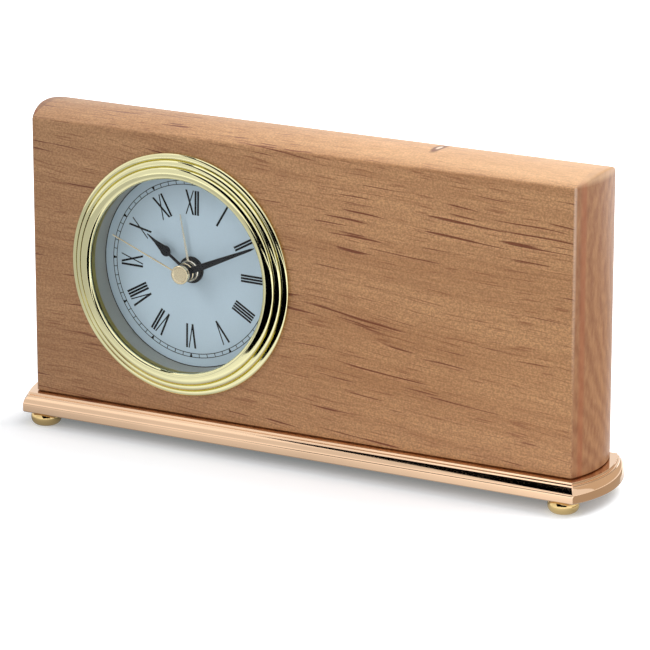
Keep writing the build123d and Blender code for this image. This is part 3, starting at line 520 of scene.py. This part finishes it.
def with_knot(tree, colour, place):
    """Pin knot in the top: a dark ring round a pale heart."""
    shift = (-KNOT[0] * KNOT_FORM[0], -KNOT[1] * KNOT_FORM[1], 0)
    from_heart = stretched(tree, place, (*KNOT_FORM, 0), shift)
    length = add_node(tree, "ShaderNodeVectorMath", {0: from_heart}, operation="LENGTH").node
    reach = length.outputs["Value"]
    ring = spread(tree, reach, 0.8, 1.2, 0.85, 0.0)
    heart = spread(tree, reach, 0.3, 0.5, 1.0, 0.0)
    colour = blend_colours(tree, ring, colour, rgb(112, 62, 42))
    return blend_colours(tree, heart, colour, rgb(240, 214, 190))


def with_arris_highlight(tree, colour, along, depth, height):
    """Painted highlight on the right front arris, stronger towards the top."""
    from_end = spread(tree, along, ARRIS_HIGHLIGHT_CORNER[0], ARRIS_HIGHLIGHT_CORNER[0] + ARRIS_HIGHLIGHT_FADE)
    from_front = spread(tree, depth, ARRIS_HIGHLIGHT_CORNER[1] - ARRIS_HIGHLIGHT_FADE, ARRIS_HIGHLIGHT_CORNER[1], 0.45, 0.0)
    painted_highlight = combine(tree, "MULTIPLY", from_end, from_front, spread(tree, height, 0.04, 0.1))
    return blend_colours(tree, painted_highlight, colour, rgb(250, 220, 200))


def alder_wood():
    """Light brown hardwood with wavering grain, chains of short dark pores and a satin lacquer."""
    material, tree, shader = new_material("alder_wood")
    place = object_place(tree)
    along, depth, height = split_place(tree, place)
    wavy = wavering(tree, place)
    grain = stretched(tree, wavy, rotation=(0, GRAIN_FALL, 0))
    fibre = noise(tree, grain, (70, 2400, 2400), roughness=0.6)
    pores = pore_chains(tree, grain, along)
    colour = face_grain(tree, place, grain, fibre, pores)

    wood_end = WOOD_W / 2 * MM
    at_end = spread(tree, magnitude(tree, along), wood_end - END_FADE, wood_end + END_FADE)
    colour = blend_colours(tree, at_end, colour, end_grain(tree, place, wavy, depth))
    # Painted light: the top paler near its crown, more so towards the right
    crown = wood_high.z * MM
    on_top = spread(tree, height, crown - TOP_FADE[0], crown - TOP_FADE[1])
    painted_light_top = combine(tree, "MULTIPLY", on_top, spread(tree, along, -0.06, 0.1, 0, 0.4))
    colour = blend_colours(tree, painted_light_top, colour, rgb(255, 214, 168))
    colour = with_knot(tree, colour, place)
    colour = with_arris_highlight(tree, colour, along, depth, height)
    # Painted shade and light: the wood darker to the left and lighter near its foot
    painted_shade_left = spread(tree, along, -0.11, 0.03, 0.71, 1.0)
    painted_light_low = spread(tree, height, 0.015, 0.07, 1.07, 1.0)
    shade = combine(tree, "MULTIPLY", painted_shade_left, painted_light_low)
    colour = blend_colours(tree, 1.0, colour, shade, way="MULTIPLY")

    lacquer = {
        "Base Color": colour,
        "Roughness": spread(tree, fibre, 0.3, 0.7, 0.48, 0.36),
        "Coat Weight": 0.1,
        "Coat Roughness": 0.3,
    }
    fill_inputs(tree, shader, lacquer)
    relief(tree, shader, combine(tree, "SUBTRACT", fibre, pores), 0.25, 0.0001)
    return material


# Other finishes

def plated_metal(name, colour, roughness, haze, streaks):
    """Polished plating with faint cloudiness and hair lines."""
    material, tree, shader = new_material(name)
    place = object_place(tree)
    clouds = noise(tree, place, (60, 60, 60), detail=3)
    lines = noise(tree, place, streaks, detail=3, roughness=0.6)
    duller = [part * 0.9 for part in colour]
    cloudy = spread(tree, clouds, 0.3, 0.7, 0, haze)
    lined = spread(tree, lines, 0.4, 0.7, 0, haze)
    plating = {
        "Base Color": blend_colours(tree, spread(tree, clouds, 0.3, 0.7, 0, 0.5), colour, duller),
        "Metallic": 1.0,
        "Roughness": combine(tree, "ADD", cloudy, lined, roughness),
    }
    fill_inputs(tree, shader, plating)
    relief(tree, shader, lines, 0.04, 0.00002)
    return material


def clear_glass():
    """Flat clear glass with faint wiping marks."""
    material, tree, shader = new_material("clear_glass")
    wiped = stretched(tree, object_place(tree), (30, 30, 90), rotation=(0, radians(35), 0))
    marks = noise(tree, wiped, (1, 1, 1), detail=4)
    glass = {
        "Base Color": WHITE,
        "Roughness": spread(tree, marks, 0.45, 0.8, 0.0, 0.03),
        "Transmission Weight": 1.0,
        "IOR": 1.25,
    }
    fill_inputs(tree, shader, glass)
    return material


def satin_paint(name, colour, roughness, metallic, grain, gloss=0.3):
    """Lacquer with a fine grain of flakes."""
    material, tree, shader = new_material(name)
    flakes = noise(tree, object_place(tree), (grain, grain, grain))
    darker = [part * 0.88 for part in colour[:3]] + [1.0]
    paint = {
        "Base Color": blend_colours(tree, flakes, darker, colour),
        "Roughness": spread(tree, flakes, 0.3, 0.7, roughness - 0.06, roughness + 0.06),
        "Metallic": metallic,
        "Specular IOR Level": gloss,
    }
    fill_inputs(tree, shader, paint)
    relief(tree, shader, flakes, 0.08, 0.00002)
    return material


FINISHES = {
    "wood": alder_wood(),
    "rose_gold": plated_metal("rose_gold", rgb(240, 203, 169), 0.04, 0.02, (4, 900, 900)),
    "bezel_gold": plated_metal("bezel_gold", rgb(240, 235, 186), 0.05, 0.03, (500, 500, 500)),
    "lens_glass": clear_glass(),
    "rehaut_grey": satin_paint("rehaut_grey", rgb(170, 173, 166), 0.5, 0.2, 2500),
    "dial_silver": satin_paint("dial_silver", rgb(192, 213, 226), 0.5, 0.1, 4000),
    "black_hand": satin_paint("black_hand", rgb(12, 14, 19), 0.35, 0.0, 3000, gloss=0.15),
    "gold_hand": plated_metal("gold_hand", rgb(230, 216, 182), 0.16, 0.05, (600, 600, 600)),
    "black_plastic": satin_paint("black_plastic", rgb(34, 34, 36), 0.5, 0.0, 3500),
    "white_plastic": satin_paint("white_plastic", rgb(226, 224, 216), 0.45, 0.0, 2500),
    "grip_rubber": satin_paint("grip_rubber", rgb(48, 48, 48), 0.8, 0.0, 2000),
    "gear_plastic": satin_paint("gear_plastic", rgb(236, 230, 208), 0.35, 0.0, 2500),
    "steel": plated_metal("steel", rgb(205, 205, 202), 0.22, 0.08, (900, 900, 900)),
    "copper_wire": plated_metal("copper_wire", rgb(208, 122, 74), 0.3, 0.1, (400, 400, 9000)),
    "board_green": satin_paint("board_green", rgb(40, 104, 64), 0.4, 0.0, 1500),
    "buzzer_brass": plated_metal("buzzer_brass", rgb(214, 190, 130), 0.28, 0.1, (700, 700, 700)),
    "cell_jacket": satin_paint("cell_jacket", rgb(58, 60, 64), 0.35, 0.3, 2000),
}
# Darker, duller copy of the bezel gold for the narrow wall inside the lip: painted shade
SHADED_GOLD = plated_metal("shaded_gold", rgb(178, 158, 84), 0.3, 0.1, (500, 500, 500))
# Black of the print, also used for the ring of painted shade at the dial's edge
PRINT_AND_SHADE_BLACK = satin_paint("print_and_shade_black", rgb(8, 9, 13), 0.6, 0.0, 5000, gloss=0.1)
PALE_GOLD = plated_metal("pale_gold", rgb(224, 220, 205), 0.2, 0.05, (600, 600, 600))
FOOT_GOLD = plated_metal("foot_gold", rgb(240, 208, 146), 0.05, 0.03, (500, 500, 500))

for subpart in frame["record"]["subparts"]:
    node_mesh = frame["nodes"][subpart["node"]].data
    node_mesh.materials.clear()
    node_mesh.materials.append(FINISHES[subpart["material_slot"]])


# Wooden block

def stands_on_base(edge):
    """Whether an edge of the block lies at its foot."""
    return all(corner.co.z < BASE_TOP + LOWER_ARRIS for corner in edge.verts)


def bore_through(shape):
    """Open the front and back of the block and join the two rims by the wall of the bore."""
    rims = []
    for cap in sorted(shape.faces, key=lambda cap_face: cap_face.calc_area())[-2:]:
        outline = cap.edges[:]
        depth = cap.calc_center_median().y
        place = Matrix.Translation((DIAL_X, depth, DIAL_Z)) @ Matrix.Rotation(pi / 2, 4, "X")
        circle = bmesh.ops.create_circle(shape, segments=TURN_STEPS, radius=BORE_R, matrix=place)
        rim = list({edge for vert in circle["verts"] for edge in vert.link_edges})
        shape.faces.remove(cap)
        bmesh.ops.triangle_fill(shape, use_beauty=True, edges=outline + rim)
        rims += rim
    bmesh.ops.bridge_loops(shape, edges=rims)


def wooden_block():
    """Block whose ends and top swell across its thickness, with eased arrises and the bore."""
    shape = bmesh.new()
    place = Matrix.Translation((0, WOOD_MID, BASE_TOP + WOOD_H / 2))
    bmesh.ops.create_cube(shape, size=1.0, matrix=place @ Matrix.Diagonal((WOOD_W, WOOD_T, WOOD_H, 1)))
    inner = WOOD_T / 2 - 2 * ARRIS
    for step in range(BOW_STEPS + 1):
        cut = WOOD_MID - inner + 2 * inner * step / BOW_STEPS
        bmesh.ops.bisect_plane(shape, geom=whole(shape), plane_co=(0, cut, 0), plane_no=(0, 1, 0))
    for corner in shape.verts:
        across = corner.co.y - WOOD_MID
        swell = sqrt(BOW_R**2 - across**2) - (BOW_R - EDGE_BOW)
        corner.co.x *= 1 + swell / (WOOD_W / 2)
        corner.co.z += swell * (corner.co.z - BASE_TOP) / WOOD_H
    upper = [edge for edge in sharp_edges(shape) if not stands_on_base(edge)]
    soften(shape, upper, ARRIS, segments=ARRIS_STEPS)
    lower = [edge for edge in sharp_edges(shape) if stands_on_base(edge)]
    soften(shape, lower, LOWER_ARRIS, segments=ARRIS_STEPS)
    bore_through(shape)
    tidy(shape)
    return shape


piece("wooden_block", wooden_block(), FINISHES["wood"], "case", "wood", "wood_block")


# Base and feet

def base_profile():
    """Moulded edge of the base from top to underside: distance beyond the wood, height."""
    ovolo_start = (STEP_OUT, BASE_TOP - STEP_DROP)
    ovolo_end = (BASE_OUT, BASE_TOP - OVOLO_DROP)
    run = BASE_OUT - STEP_OUT
    drop = OVOLO_DROP - STEP_DROP
    radius = (run**2 + drop**2) / (2 * run)
    swell = radius - sqrt(radius**2 - (run**2 + drop**2) / 4)
    return [
        Vector((-PLINTH_IN, BASE_TOP)),
        Vector((-PLINTH_IN, BASE_TOP - PLINTH_H)),
        Vector((LEDGE_OUT, BASE_TOP - PLINTH_H)),
        Vector((LEDGE_OUT, BASE_TOP - LEDGE_DROP)),
        Vector((STEP_OUT, BASE_TOP - LEDGE_DROP)),
        Vector(ovolo_start),
        *arc(ovolo_start, ovolo_end, swell),
        Vector((BASE_OUT, FOOT_H + UNDER_CHAMFER)),
        Vector((BASE_OUT - UNDER_CHAMFER, FOOT_H)),
    ]


def front_moulding(end_centre):
    """Straight moulding from the middle of the front to its mitre with the right end."""
    half_t = WOOD_T / 2
    shape = bmesh.new()
    chain(shape, [(0, -half_t - out, height) for out, height in base_profile()])
    run = bmesh.ops.extrude_edge_only(shape, edges=shape.edges[:])["geom"]
    for corner in run:
        if isinstance(corner, bmesh.types.BMVert):
            out = -corner.co.y - half_t
            corner.co.x = end_centre + sqrt((BOW_R + out) ** 2 - (half_t + out) ** 2)
    return shape


def end_moulding(end_centre):
    """Bowed moulding from the middle of the right end to its mitre with the front."""
    shape = bmesh.new()
    start = chain(shape, [(end_centre + BOW_R + out, 0, height) for out, height in base_profile()])
    bmesh.ops.spin(shape, geom=start, cent=(end_centre, 0, 0), axis=(0, 0, 1), angle=-1.0, steps=BOW_STEPS)
    # The one radian of the spin stands for the whole way to the mitre, which differs with the radius
    for corner in shape.verts:
        radius = sqrt((corner.co.x - end_centre) ** 2 + corner.co.y**2)
        share = atan2(-corner.co.y, corner.co.x - end_centre)
        turn = share * asin((WOOD_T / 2 + radius - BOW_R) / radius)
        corner.co.x = end_centre + radius * cos(turn)
        corner.co.y = -radius * sin(turn)
    return shape


def moulded_base():
    """Straight front moulding mitred to a bowed end, then mirrored to the other sides and closed."""
    end_centre = WOOD_W / 2 + EDGE_BOW - BOW_R
    shape = front_moulding(end_centre)
    add_shape(shape, end_moulding(end_centre))
    bmesh.ops.remove_doubles(shape, verts=shape.verts, dist=SEAM_WELD)
    for axis in ("X", "Y"):
        bmesh.ops.mirror(shape, geom=whole(shape), axis=axis, merge_dist=SEAM_WELD)
    bmesh.ops.remove_doubles(shape, verts=shape.verts, dist=SEAM_WELD)
    bmesh.ops.holes_fill(shape, edges=[edge for edge in shape.edges if edge.is_boundary], sides=0)
    tidy(shape)
    soften(shape, sharp_edges(shape), BASE_EDGE_ROUND)
    bmesh.ops.translate(shape, vec=(0, WOOD_MID, 0), verts=shape.verts)
    return shape


piece("moulded_base", moulded_base(), FINISHES["rose_gold"], "case", "rose_gold", "base_plate")


def bun_foot(x, y):
    """Flattened ball, flat where it rests and under the base."""
    rest = Vector((FOOT_REST_R, 0))
    belly = Vector((FOOT_R, FOOT_BELLY_H))
    neck = Vector((FOOT_NECK_R, FOOT_H))
    outline = [
        Vector((0, 0)),
        rest,
        *arc(rest, belly, -FOOT_LOWER_SWELL),
        *arc(belly, neck, -FOOT_UPPER_SWELL),
        Vector((0, FOOT_H)),
    ]
    shape = turned([(radius, 0, height) for radius, height in outline], (0, 0, 1), SMALL_TURN_STEPS)
    bmesh.ops.translate(shape, vec=(x, y, 0), verts=shape.verts)
    return shape


for side in ("front_left", "front_right", "back_left", "back_right"):
    foot_low, foot_high = node_box(f"foot_{side}")
    foot_middle = (foot_low + foot_high) / 2
    foot_shape = bun_foot(foot_middle.x, foot_middle.y)
    piece(f"bun_foot_{side}", foot_shape, FOOT_GOLD, "case", "rose_gold", f"foot_{side}")


# Round insert

def bezel_rings():
    """Three convex rings that step forwards to a beaded lip, with the skirt behind them."""
    outline = [Vector(RING_EDGES[0])]
    for (outer, low), (inner, crest) in zip(RING_EDGES, RING_EDGES[1:]):
        innermost = (inner, crest) == RING_EDGES[-1]
        start = inner if innermost else inner + RING_GROOVE
        for step in range(1, ARC_STEPS + 1):
            turn = pi / 2 * step / ARC_STEPS
            outline.append(Vector((start + (outer - start) * cos(turn), low + (crest - low) * sin(turn))))
        if not innermost:
            outline += [Vector((inner, crest + RING_GROOVE_DEPTH)), Vector((inner, crest))]
    outline += arc(RING_EDGES[-1], LIP, LIP_SWELL)
    outline += [
        Vector((LIP[0], LENS_FRONT)),
        Vector((SKIRT_R, LENS_FRONT)),
        Vector((SKIRT_R, SKIRT_END)),
        Vector((SKIRT_OUT_R, SKIRT_END)),
        Vector((SKIRT_OUT_R, 0)),
        Vector((RING_EDGES[0][0], 0)),
    ]
    shape = bmesh.new()
    turned_on_dial(shape, outline, closed=True)
    return shape


def bezel_sleeve():
    """Narrow gold wall between the glass and the grey wall, in a darker gold that is painted shade."""
    shape = bmesh.new()
    square_ring(shape, SLEEVE_R, SLEEVE_OUT_R, LENS_BACK, SLEEVE_BACK)
    return shape


def lens_disc():
    """Flat glass with ground edges."""
    shape = bmesh.new()
    outline = (
        (0, LENS_FRONT),
        (LENS_R - LENS_GROUND, LENS_FRONT),
        (LENS_R, LENS_FRONT + LENS_GROUND),
        (LENS_R, LENS_BACK - LENS_GROUND),
        (LENS_R - LENS_GROUND, LENS_BACK),
        (0, LENS_BACK),
    )
    turned_on_dial(shape, outline)
    return shape


def rehaut_ring():
    """Inner wall between lens and dial."""
    shape = bmesh.new()
    square_ring(shape, REHAUT_R, LENS_R, LENS_BACK, DIAL_DEPTH)
    return shape


def nut_ring():
    """Black ring at the foot of the hands."""
    shape = bmesh.new()
    round_start = (NUT_R - NUT_ROUND, NUT_FRONT)
    round_end = (NUT_R, NUT_FRONT + NUT_ROUND)
    outline = (
        (NUT_BORE_R, NUT_FRONT),
        round_start,
        *arc(round_start, round_end, -NUT_ROUND_SWELL),
        (NUT_R, DIAL_DEPTH),
        (NUT_BORE_R, DIAL_DEPTH),
    )
    turned_on_dial(shape, outline, steps=SMALL_TURN_STEPS, closed=True)
    return shape


piece("bezel_rings", bezel_rings(), FINISHES["bezel_gold"], "case", "bezel_gold", "bezel")
piece("bezel_sleeve", bezel_sleeve(), SHADED_GOLD, "case", "bezel_gold")
glass = piece("lens_disc", lens_disc(), FINISHES["lens_glass"], "case", "lens_glass", "lens")
glass.visible_shadow = False
piece("rehaut_ring", rehaut_ring(), FINISHES["rehaut_grey"], "case", "rehaut_grey", "rehaut")
piece("nut_ring", nut_ring(), FINISHES["black_hand"], "case", "black_hand", "dial_nut")


# Dial print

def printed(shape, outline, clockwise):
    """Flat print on the dial from an outline of (across, outwards) points."""
    plate_on_dial(shape, outline, clockwise + DIAL_TURN, PRINT_FRONT, DIAL_DEPTH)


def stroke(shape, foot, head, width, clockwise):
    """One stroke of a numeral, from its foot towards the axis to its head."""
    half = width / 2
    outline = (
        (foot - half, NUMERAL_IN),
        (foot + half, NUMERAL_IN),
        (head + half, NUMERAL_OUT),
        (head - half, NUMERAL_OUT),
    )
    printed(shape, outline, clockwise)


def letter_strokes(shape, letter, left, clockwise):
    """The strokes of one letter of a numeral, from its left."""
    right = left + LETTER_W[letter]
    if letter == "I":
        stroke(shape, left, left, THICK_STROKE, clockwise)
    elif letter == "V":
        stroke(shape, (left + right) / 2, left, THICK_STROKE, clockwise)
        stroke(shape, (left + right) / 2, right, THIN_STROKE, clockwise)
    else:
        stroke(shape, right, left, THICK_STROKE, clockwise)
        stroke(shape, left, right, THIN_STROKE, clockwise)


def roman_numerals():
    """Twelve upright numerals with their feet to the middle of the dial."""
    shape = bmesh.new()
    for hour, numeral in enumerate(NUMERALS):
        places = []
        reach = 0.0
        for letter, before in zip(numeral, " " + numeral):
            if before != " ":
                reach += STROKE_PITCH if before == letter == "I" else LETTER_GAP
            places.append((letter, reach))
            reach += LETTER_W[letter]
        for letter, left in places:
            letter_strokes(shape, letter, left - reach / 2, hour * 30)
    return shape


def minute_track_and_edge_shade():
    """Two thin rings with sixty ticks between them, a wedge at each hour, and a dark ring of painted shade at the
    dial's edge.
    """
    shape = bmesh.new()
    square_ring(shape, TRACK_IN, TRACK_IN + TRACK_LINE, PRINT_FRONT, DIAL_DEPTH)
    square_ring(shape, TRACK_OUT, TRACK_OUT + TRACK_LINE, PRINT_FRONT, DIAL_DEPTH)
    # Painted shade: dark ring where the dial meets the grey wall
    square_ring(shape, REHAUT_R - DIAL_EDGE_SHADE, REHAUT_R, PRINT_FRONT, DIAL_DEPTH)
    half = TRACK_LINE / 2
    half_wedge = HOUR_MARK_W / 2
    tick = ((-half, TRACK_IN), (half, TRACK_IN), (half, TRACK_OUT), (-half, TRACK_OUT))
    wedge = ((-half, TRACK_IN), (half, TRACK_IN), (half_wedge, TRACK_OUT), (-half_wedge, TRACK_OUT))
    for minute in range(60):
        printed(shape, tick if minute % 5 else wedge, minute * 6)
    return shape


piece("roman_numerals", roman_numerals(), PRINT_AND_SHADE_BLACK, "case", "black_hand")
piece("minute_track_and_edge_shade", minute_track_and_edge_shade(), PRINT_AND_SHADE_BLACK, "case", "black_hand")


# Hands

def both_sides(half):
    """Whole outline of a hand from its half outline."""
    return [*half, *[(-across, outwards) for across, outwards in reversed(half)]]


def blade(shape, half, clockwise, front, back):
    """Flat hand with eased edges, added to the shape in hand."""
    plate = bmesh.new()
    plate_on_dial(plate, both_sides(half), clockwise, front, back)
    soften(plate, sharp_edges(plate), BLADE_ROUND, segments=2)
    add_shape(shape, plate)


def collet(shape, radius, bore, front, back, edge=COLLET_EDGE):
    """Round boss of a hand with eased rims."""
    outline = (
        (bore, front),
        (radius - edge, front),
        (radius, front + edge),
        (radius, back - edge),
        (radius - edge, back),
        (bore, back),
    )
    turned_on_dial(shape, outline, steps=SMALL_TURN_STEPS, closed=True)


def collet_rim(collet_size):
    """Bright line turned on the front edge of a black collet."""
    radius, _, front, _ = collet_size
    shape = bmesh.new()
    outline = (
        (radius - RIM_IN, front - RIM_PROUD),
        (radius - RIM_SLOPE, front - RIM_PROUD),
        (radius + RIM_OVER, front + RIM_SLOPE),
        (radius + RIM_OVER, front + RIM_BACK),
        (radius - RIM_IN, front + RIM_BACK),
    )
    turned_on_dial(shape, outline, steps=SMALL_TURN_STEPS, closed=True)
    return shape


def hour_hand():
    """Thin stem that opens into a spade and runs out to a point."""
    half = [*HOUR_STEM, *arc(HOUR_STEM[-1], HOUR_SPADE, -HOUR_SPADE_SWELL), *HOUR_POINT]
    shape = bmesh.new()
    blade(shape, half, HOUR_ANGLE, *HOUR_BLADE)
    collet(shape, *HOUR_COLLET)
    return shape


def minute_hand():
    """Long tapered leaf."""
    shape = bmesh.new()
    blade(shape, MINUTE_HALF, MINUTE_ANGLE, *MINUTE_BLADE)
    collet(shape, *MINUTE_COLLET)
    return shape


def second_hand():
    """Needle under a dished cap with a raised rim."""
    shape = bmesh.new()
    blade(shape, SECOND_HALF, SECOND_ANGLE, *SECOND_BLADE)
    round_start = (CAP_R - CAP_ROUND, CAP_FRONT)
    round_end = (CAP_R, CAP_FRONT + CAP_ROUND)
    cap = (
        (0, DISH_FRONT),
        (DISH_R, DISH_FRONT),
        (DISH_R + DISH_SLOPE, CAP_FRONT),
        round_start,
        *arc(round_start, round_end, -CAP_ROUND_SWELL),
        (CAP_R, CAP_BACK - CAP_EDGE),
        (CAP_R - CAP_EDGE, CAP_BACK),
        (0, CAP_BACK),
    )
    turned_on_dial(shape, cap, steps=SMALL_TURN_STEPS)
    return shape


def alarm_hand():
    """Short needle on its ring."""
    shape = bmesh.new()
    blade(shape, ALARM_HALF, ALARM_ANGLE, *ALARM_BLADE)
    collet(shape, *ALARM_COLLET, edge=ALARM_COLLET_EDGE)
    return shape


gold_hand = FINISHES["gold_hand"]
black_hand = FINISHES["black_hand"]
piece("hour_blade", hour_hand(), black_hand, "hour_train", "black_hand", "hour_hand")
piece("minute_blade", minute_hand(), black_hand, "minute_train", "black_hand", "minute_hand")
piece("second_needle", second_hand(), gold_hand, "second_hand_train", "gold_hand", "second_hand")
piece("hour_collet_rim", collet_rim(HOUR_COLLET), gold_hand, "hour_train", "gold_hand")
piece("minute_collet_rim", collet_rim(MINUTE_COLLET), gold_hand, "minute_train", "gold_hand")
piece("alarm_needle", alarm_hand(), PALE_GOLD, "alarm_train", "gold_hand", "alarm_hand")


# Floor, light and camera

def emitting(tree, colour, strength):
    """Even light from a surface or from the sky."""
    kind = "ShaderNodeBackground" if "World Output" in tree.nodes else "ShaderNodeEmission"
    return add_node(tree, kind, {"Color": colour, "Strength": strength})


def seen_directly(tree):
    """One where the eye, a mirror or a glass looks at the background, nought where it lights things."""
    path = tree.nodes.new("ShaderNodeLightPath").outputs
    rays = (path["Is Camera Ray"], path["Is Glossy Ray"], path["Is Transmission Ray"])
    return combine(tree, "MAXIMUM", *rays)


def staged(name, shape, material):
    """Thing of the studio, made in metres, that isn't part of the clock."""
    mesh = bpy.data.meshes.new(name)
    shape.to_mesh(mesh)
    shape.free()
    mesh.materials.append(material)
    obj = bpy.data.objects.new(name, mesh)
    bpy.context.scene.collection.objects.link(obj)
    return obj


def beyond_base(tree, across, towards):
    """How far a place on the floor lies outside the base, below nought under it."""
    beside = combine(tree, "SUBTRACT", magnitude(tree, across), base_high.x * MM)
    before = combine(tree, "SUBTRACT", magnitude(tree, towards), base_high.y * MM)
    return combine(tree, "MAXIMUM", beside, before)


def pale_floor():
    """Wide white floor that keeps the shadow of the clock, narrowed by painted light that grows with the distance
    from the base, and has a brightness of its own in mirrors.
    """
    material, tree, shader = new_material("white_paper")
    fill_inputs(tree, shader, {"Base Color": PAPER, "Roughness": 0.9, "Specular IOR Level": 0.1})
    across, towards = split_place(tree, object_place(tree))[:2]
    away = beyond_base(tree, across, towards)
    # Painted light for the eye: little under the base, more beside it, white far off
    tint = blend_colours(tree, spread(tree, away, -0.012, 0.008), UNDER_GLOW, EDGE_GLOW)
    tint = blend_colours(tree, spread(tree, away, 0.02, 0.2), tint, FAR_GLOW)
    glow = emitting(tree, tint, seen_directly(tree))
    lit = add_node(tree, "ShaderNodeAddShader", {0: shader.outputs[0], 1: glow})
    # Painted shade and light seen only in mirrors: darker under and near the base and to the left, brighter to the
    # right
    mirrored_level = combine(
        tree,
        "MULTIPLY",
        spread(tree, across, -0.2, -0.06, 0.54, 0.93),
        spread(tree, across, 0.0, 0.12, 1.0, 1.55),
        spread(tree, away, -0.012, 0.033, 0.15, 1.2),
        spread(tree, away, 0.035, 0.055, 1.0, 0.89),
    )
    mirrored = emitting(tree, WHITE, mirrored_level)
    in_mirror = tree.nodes.new("ShaderNodeLightPath").outputs["Is Glossy Ray"]
    surface = add_node(tree, "ShaderNodeMixShader", {0: in_mirror, 1: lit, 2: mirrored})
    fill_inputs(tree, tree.nodes["Material Output"], {"Surface": surface})
    shape = bmesh.new()
    bmesh.ops.create_grid(shape, x_segments=1, y_segments=1, size=FLOOR_HALF)
    staged("floor", shape, material)


def mirror_card(name, corners, level, tint=WHITE):
    """Card of an even brightness that only the polished metal mirrors."""
    material, tree = new_material(name)[:2]
    fill_inputs(tree, tree.nodes["Material Output"], {"Surface": emitting(tree, tint, level)})
    shape = bmesh.new()
    shape.faces.new([shape.verts.new(corner) for corner in corners])
    card = staged(name, shape, material)
    card.visible_camera = False
    card.visible_diffuse = False
    card.visible_shadow = False
    card.visible_transmission = False


def upright_card(name, y, outline, level, tint=WHITE):
    """Card that stands across the front or the back, from an outline of (x, height) points."""
    mirror_card(name, [(x, y, height) for x, height in outline], level, tint)


def level_card(name, height, outline, level, tint=WHITE):
    """Card that lies level, from an outline of (x, y) points."""
    mirror_card(name, [(x, y, height) for x, y in outline], level, tint)


def oblong(left, low, right, high):
    """Corners of an upright or level oblong card."""
    return (left, low), (right, low), (right, high), (left, high)


def soft_box(name, place, target, size, power):
    """Oblong lamp that looks at a place and isn't mirrored."""
    lamp = bpy.data.lights.new(name, "AREA")
    lamp.shape = "RECTANGLE"
    lamp.size, lamp.size_y = size
    lamp.energy = power
    holder = bpy.data.objects.new(name, lamp)
    holder.location = place
    holder.rotation_euler = (Vector(target) - Vector(place)).to_track_quat("-Z", "Y").to_euler()
    holder.visible_glossy = False
    bpy.context.scene.collection.objects.link(holder)


UPPER_BLACK = (
    (-0.4, 0.75),
    (-0.27, 0.52),
    (-0.2, 0.37),
    (-0.15, 0.26),
    (-0.105, 0.166),
    (-0.07, 0.1),
    (-0.05, 0.05),
    (0.1, 0.08),
    (0.6, 0.08),
    (0.6, 0.3),
    (0.15, 0.34),
    (-0.37, 0.9),
)
FLOOR_BLACK = (
    (-0.08, -0.13),
    (-0.4, -1.3),
    (0.9, -1.3),
    (0.13, -0.1),
    (-0.03, -0.085),
)
CEILING_BLACK = (
    (-0.62, -0.02),
    (-0.61, -0.23),
    (-0.61, -0.44),
    (-0.6, -0.7),
    (-0.42, -0.7),
    (-0.38, -0.44),
    (-0.36, -0.02),
)


def mirror_cards():
    """Dark, grey and white cards that give the polished metal its bands."""
    upright_card("upper_black", -0.45, UPPER_BLACK, 0.0)
    upright_card("front_white", -0.62, oblong(-0.5, 0.05, 0.8, 0.14), 1.2)
    level_card("floor_black", FLOOR_CARD_H, FLOOR_BLACK, 0.0)
    level_card("right_grey", FLOOR_CARD_H, oblong(0.118, -0.02, 0.4, 0.3), 0.5, WARM_GREY)
    level_card("ceiling_black", CEILING_BLACK_H, CEILING_BLACK, 0.0)
    upright_card("left_grey", -0.5, oblong(-0.8, 0.14, -0.2, 0.7), 0.85)
    upright_card("back_grey", 0.6, oblong(0, 0.05, 1.2, 1.2), 0.69, WARM_GREY)
    level_card("ceiling_white", CEILING_WHITE_H, oblong(-1, -0.6, 1, 0.5), 1.25)


def white_sky():
    """Even white surroundings that light the clock softly and look white themselves."""
    world = bpy.data.worlds.new("white_studio")
    bpy.context.scene.world = world
    world.use_nodes = True
    tree = world.node_tree
    tree.nodes.clear()
    output = tree.nodes.new("ShaderNodeOutputWorld")
    fill = emitting(tree, WHITE, 0.51)
    backdrop = emitting(tree, WHITE, 1.0)
    sky = add_node(tree, "ShaderNodeMixShader", {0: seen_directly(tree), 1: fill, 2: backdrop})
    fill_inputs(tree, output, {"Surface": sky})


def photo_camera():
    """Camera that sees the clock from its front right and a little above."""
    lens = bpy.data.cameras.new("photo_camera")
    lens.sensor_width = SENSOR_W
    lens.lens = LENS_LENGTH
    lens.clip_end = VIEW_DEPTH
    camera = bpy.data.objects.new("photo_camera", lens)
    camera.location = CAMERA_PLACE
    camera.rotation_euler = (radians(90 - CAMERA_DOWN), 0, radians(CAMERA_TURN))
    bpy.context.scene.collection.objects.link(camera)
    bpy.context.scene.camera = camera


white_sky()
soft_box("top_box", (0.3, 0.35, 0.8), (0, 0, 0.05), (0.9, 0.7), power=7.6)
soft_box("front_box", (-0.65, -0.75, 0.75), (-0.03, 0, 0.06), (0.5, 0.5), power=2.3)
pale_floor()
mirror_cards()
photo_camera()
bpy.context.scene.view_settings.view_transform = "Standard"
